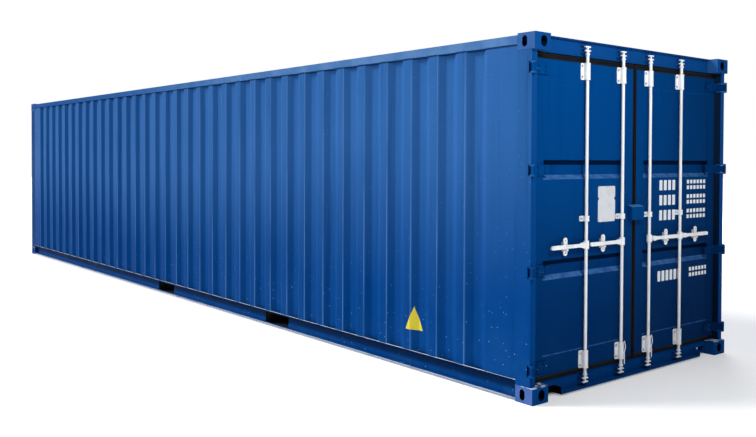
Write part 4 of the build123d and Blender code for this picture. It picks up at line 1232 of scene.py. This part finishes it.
def slim_bar(name, node, y):
    """A measured bar with a thinner rod and collars, and forks in place of its cam plates."""
    work = measured_mesh(node)
    gone = []
    for point in work.verts:
        dx, dy = point.co.x - BAR_X, point.co.y - y
        radius = math.hypot(dx, dy)
        cam_z = min(CAM_HEIGHTS, key=lambda z: abs(point.co.z - z))
        rise = point.co.z - cam_z
        outwards = rise if cam_z > 1.0 else -rise
        on_rod = abs(radius - MEASURED_ROD_R) < ON_SURFACE
        on_collar = abs(radius - MEASURED_COLLAR_R) < ON_SURFACE and abs(rise) < COLLAR_REACH
        stub = abs(rise) < CAM_HALF + ROD_STUB and outwards > STUB_START
        plate = abs(rise) < CAM_HALF + 0.0005 and not on_rod
        if stub or plate:
            gone.append(point)
        elif on_rod or on_collar:
            thinner = ROD_R if on_rod else COLLAR_R
            point.co.x, point.co.y = BAR_X + dx * thinner / radius, y + dy * thinner / radius
    bmesh.ops.delete(work, geom=gone, context="VERTS")
    for z in CAM_HEIGHTS:
        add_block(work, (BAR_X, y, z), STEM_HALF)
        for rise in (-ARM_RISE, ARM_RISE):
            add_block(work, (BAR_X, y, z + rise), ARM_HALF, ARM_BEVEL)
    return reworked(name, work, white_paint)


for number, y in enumerate(BAR_YS, start=1):
    node = f"locking_bar_{number}"
    link_mesh(f"slim_bar_{number}", slim_bar(f"slim_bar_{number}", node, y), node, "white_paint", node)

# %% The door header
header_front, _, header_top = box_of("door_header")[1]
GUTTER_DEPTH, LIP_FRONT = 0.012, LEAF_FRONT + 0.006
TOP_PLATE, TOP_RISE = 0.015, 0.005
header = measured_mesh("door_header")
for point in header.verts:
    if point.co.x > header_front - GUTTER_DEPTH:
        point.co.x = LIP_FRONT
    if point.co.z > header_top - TOP_PLATE:
        point.co.z += TOP_RISE
link_mesh("header_with_lip", reworked("header_with_lip", header, frame_blue), "container", "blue_paint",
          "door_header")

# %% The hood over the padlock
hood_front, _, hood_top = box_of("right_door_lock_box")[1]
HOOD_PLATE = 0.0075
HOOD_FALL, HOOD_SEAM, MEASURED_SEAM = 0.016, 0.001, 0.007
for body, sign in DOORS:
    hood = measured_mesh(f"{body}_lock_box")
    for point in hood.verts:
        if abs(point.co.y) < MEASURED_SEAM:
            point.co.y = sign * HOOD_SEAM
        if point.co.x > hood_front - HOOD_PLATE and point.co.z > hood_top - HOOD_PLATE:
            point.co.z -= HOOD_FALL
    link_mesh(f"{body}_hood", reworked(f"{body}_hood", hood, hood_blue), body, "blue_paint",
              f"{body}_lock_box")

# %% [markdown]
# ## Tie-back hooks
# A swung-open leaf is held along the side of the container by a short bent rod.
# It hangs beside the inner bar of each leaf: from the top of the lower sleeve it
# bows out over the sleeve, then runs straight down to the cam. A bent rod is a
# round section swept along a curve, which the weld tree does when its ripple is
# nothing.

# %% Tie-back hooks
HOOK_R, HOOK_STEP, BOW_TURN = 0.0042, 0.006, 12
HOOK_X, BOW_TOP, BOW_TALL = BAR_X + 0.012, 0.292, 0.090
BOW_SIDE, BOW_BULGE = 0.026, 0.014
ROD_ENDS = ((0.030, 0.165), (0.028, 0.112))
for body, sign in DOORS:
    hook = []
    for degrees in range(0, 181, BOW_TURN):
        turn_a = math.radians(degrees)
        side = BOW_SIDE + BOW_BULGE * math.sin(turn_a)
        hook.append((HOOK_X, sign * INNER_BAR_Y + side, BOW_TOP - BOW_TALL * turn_a / math.pi))
    hook += [(HOOK_X, sign * INNER_BAR_Y + side, z) for side, z in ROD_ENDS]
    grow(f"{body}_tie_back", weld_rule, body, "white_paint", {
        "Radius": HOOK_R, "Ripple": 0.0, "Step": HOOK_STEP, "Finish": white_paint,
    }, seed=seam_mesh("hook_line", [hook]))

# %% [markdown]
# ## Screws in the floor
# The plywood is screwed to the members under it, a row of countersunk screws over
# each of them. Their heads lie almost level with the wood.

# %% Screws in the floor
SCREW_COLUMNS, SCREW_ROWS = 38, 9
FIRST_X, FIRST_Y, PITCH_X, PITCH_Y = -5.79, -1.10, 0.305, 0.275
SCREW_Z = box_of("floor_boards")[1][2] - 0.0002
screw_spots = [
    ((FIRST_X + column * PITCH_X, FIRST_Y + row * PITCH_Y, SCREW_Z), UP)
    for column in range(SCREW_COLUMNS) for row in range(SCREW_ROWS)
]
bolts("floor_screws", "container", "underframe_paint", screw_spots, zinc_steel,
      radius=0.0035, height=0.0003, washer=0.006, lift=0.0007, turn_seed=5)

# %% [markdown]
# ## Door seals
# Each leaf carries a rubber seal round its edge, with soft lips that close the
# gap to the posts, the header, the sill and the other leaf. A ring with a lipped
# section says more than a flat strip. The section is swept round the leaf with
# mitred corners, and its width follows the gap on each of the four sides. Its inner
# lip laps over the edge of the leaf.

# %% Seal rings
LIPS = (
    (0.00, -0.0200), (0.00, 0.0023), (-0.22, 0.0023), (-0.23, 0.0035), (-0.10, 0.0042), (0.06, 0.0038),
    (0.14, 0.0000), (0.24, 0.0000), (0.36, -0.0020), (0.44, -0.0060), (0.54, -0.0060), (0.62, -0.0020),
    (0.74, 0.0000), (0.86, -0.0020), (0.94, -0.0080), (0.90, -0.0140), (0.96, -0.0200),
)
SEAL_LOW, SEAL_HIGH = box_of("right_door_gasket")


def seal_ring(sign):
    """The lipped seal of one leaf, as a closed ring."""
    points = []
    for leaf_y, leaf_z, seal_y, seal_z in (
        (LEAF_INNER, LEAF_LOW, SEAL_LOW[1], SEAL_LOW[2]),
        (LEAF_OUTER, LEAF_LOW, SEAL_HIGH[1], SEAL_LOW[2]),
        (LEAF_OUTER, LEAF_HIGH, SEAL_HIGH[1], SEAL_HIGH[2]),
        (LEAF_INNER, LEAF_HIGH, SEAL_LOW[1], SEAL_HIGH[2]),
    ):
        for share, drop in LIPS:
            y, z = leaf_y + share * (seal_y - leaf_y), leaf_z + share * (seal_z - leaf_z)
            points.append((SEAL_HIGH[0] + drop, sign * y, z))
    n = len(LIPS)
    faces = []
    for corner in range(4):
        a, b = corner * n, (corner + 1) % 4 * n
        for i in range(n):
            j = (i + 1) % n
            faces.append((a + i, b + i, b + j, a + j))
    mesh = bpy.data.meshes.new("seal_ring")
    mesh.from_pydata(points, [], faces)
    work = bmesh.new()
    work.from_mesh(mesh)
    bmesh.ops.recalc_face_normals(work, faces=work.faces)
    work.to_mesh(mesh)
    work.free()
    mesh.materials.append(seal_rubber)
    return mesh


for body, sign in DOORS:
    link_mesh(f"{body}_seal", seal_ring(sign), body, "door_rubber", f"{body}_gasket")

# %% [markdown]
# ## Flat marks and the plate
# The right-hand leaf of such a container carries stencilled white marks and the
# left-hand leaf a riveted plate. Here the marks are plain blocks and the plate is
# bare. Each is a thin slab with rounded corners, cut from an outline and given
# a real thickness, so it catches the light at its edge.

# %% Slab kit


def rounded(y0, y1, z0, z1, radius, steps=5):
    """Outline of a rectangle with rounded corners, in Y and Z."""
    outline = []
    for cy, cz, start in (
        (y1 - radius, z0 + radius, -90), (y1 - radius, z1 - radius, 0),
        (y0 + radius, z1 - radius, 90), (y0 + radius, z0 + radius, 180),
    ):
        for k in range(steps + 1):
            angle = math.radians(start + 90 * k / steps)
            outline.append((cy + radius * math.cos(angle), cz + radius * math.sin(angle)))
    return outline


def slabs(name, outlines, x, thickness, finish):
    """Thin upright slabs on outlines given in Y and Z, facing the door end."""
    work = bmesh.new()
    for outline in outlines:
        front = [work.verts.new((x + thickness, y, z)) for y, z in outline]
        rear = [work.verts.new((x, y, z)) for y, z in outline]
        work.faces.new(front)
        work.faces.new(rear[::-1])
        n = len(outline)
        for i in range(n):
            j = (i + 1) % n
            work.faces.new((rear[i], rear[j], front[j], front[i]))
    bmesh.ops.recalc_face_normals(work, faces=work.faces)
    mesh = bpy.data.meshes.new(name)
    work.to_mesh(mesh)
    work.free()
    mesh.materials.append(finish)
    return mesh


# %% Stencil blocks on the right-hand leaf
BLOCK_THICKNESS = 0.0004
LINE_RISE = 0.024


def block_row(first, count, pitch, middle, width, tall, radius, steps):
    """Outlines of a row of equal blocks, from the place of the first and the middle height."""
    low, high = middle - tall / 2, middle + tall / 2
    starts = [first + k * pitch for k in range(count)]
    return [rounded(start, start + width, low, high, radius, steps) for start in starts]


marks = []
for z in (1.500, 1.376, 1.252):
    marks += block_row(0.345, 4, 0.060, z, 0.040, 0.084, 0.006, 3)
    for line in (z + LINE_RISE, z - LINE_RISE):
        marks += block_row(0.735, 6, 0.049, line, 0.034, 0.032, 0.004, 2)
marks += block_row(0.330, 6, 0.056, 0.749, 0.038, 0.086, 0.006, 3)
for line in (0.749 + LINE_RISE, 0.749 - LINE_RISE):
    marks += block_row(0.780, 6, 0.047, line, 0.033, 0.032, 0.004, 2)
stencil = slabs("stencil_blocks", marks, PANEL_FRONT, BLOCK_THICKNESS, stencil_white)
link_mesh("right_door_stencil_blocks", stencil, "right_door", "white_paint")

# %% Plate on the left-hand leaf
left_y, right_y, low_z, high_z, waist = -0.436, -0.233, 1.234, 1.506, 1.411
middle_y = (left_y + right_y) / 2
PLATE_THICKNESS, PLATE_CORNER, RIVET_INSET = 0.0022, 0.012, 0.010
NOTCH_DEPTH, NOTCH_HALF, NOTCH_FLOOR = 0.010, 0.012, 0.008
plate_outline = rounded(left_y, right_y, low_z, high_z, PLATE_CORNER)
notched = []
for (ya, za), (yb, zb) in zip(plate_outline, plate_outline[1:] + plate_outline[:1]):
    notched.append((ya, za))
    if abs(ya - yb) < 1e-6 and abs(za - zb) > 0.1:
        way = 1 if zb > za else -1
        inward_y = -NOTCH_DEPTH if ya > middle_y else NOTCH_DEPTH
        notch = (-NOTCH_HALF, 0.0), (-NOTCH_FLOOR, inward_y), (NOTCH_FLOOR, inward_y), (NOTCH_HALF, 0.0)
        notched += [(ya + dy, waist + way * dz) for dz, dy in notch]
plate_mesh = slabs("door_plate", [notched], PANEL_FRONT, PLATE_THICKNESS, plate_metal)
link_mesh("left_door_plate", plate_mesh, "left_door", "white_paint")
plate_spots = [
    ((PANEL_FRONT + PLATE_THICKNESS, y, z), EAST)
    for y in (left_y + RIVET_INSET, middle_y, right_y - RIVET_INSET)
    for z in (low_z + RIVET_INSET, high_z - RIVET_INSET)
]
bolts("left_door_plate_rivets", "left_door", "white_paint", plate_spots, zinc_steel,
      radius=0.003, height=0.0012, washer=0.004, sides=10, lift=0.0006)

# %% [markdown]
# ## The yellow triangle
# A plain triangle of film is stuck low on the long side, near the doors. Film
# follows the waves it is stuck to, so the triangle is cut into narrow upright
# strips whose points are pushed back by the depth of the wave under them, and
# then gets the thickness of a film.

# %% Triangle
left_x, right_x, foot_z, peak_z = 4.640, 4.820, 0.320, 0.507
FILM, CORNER_SHARE = 0.0006, 0.004
strips, steps = 52, 8
triangle = bmesh.new()
columns = []
for i in range(strips + 1):
    x = left_x + (right_x - left_x) * i / strips
    share = 1 - abs(2 * i / strips - 1)
    top = foot_z + (peak_z - foot_z) * max(share, CORNER_SHARE)
    wall_y = -SIDE_OUTER + wave_depth(x + WALL_END, WALL_LENGTH, SIDE_WAVE)
    rises = [foot_z + (top - foot_z) * k / steps for k in range(steps + 1)]
    loop = [(wall_y - 2 * FILM, z) for z in rises] + [(wall_y - FILM, z) for z in reversed(rises)]
    columns.append([triangle.verts.new((x, y, z)) for y, z in loop])
for a, b in zip(columns, columns[1:]):
    for k in range(len(a)):
        n = (k + 1) % len(a)
        triangle.faces.new((a[k], b[k], b[n], a[n]))
triangle.faces.new(columns[0])
triangle.faces.new(columns[-1][::-1])
bmesh.ops.recalc_face_normals(triangle, faces=triangle.faces)
triangle_mesh = bpy.data.meshes.new("side_triangle")
triangle.to_mesh(triangle_mesh)
triangle.free()
triangle_mesh.materials.append(yellow_film)
link_mesh("side_triangle", triangle_mesh, "container", "white_paint")

# %% Print the box of the measured model
print("measured box", cad_box)
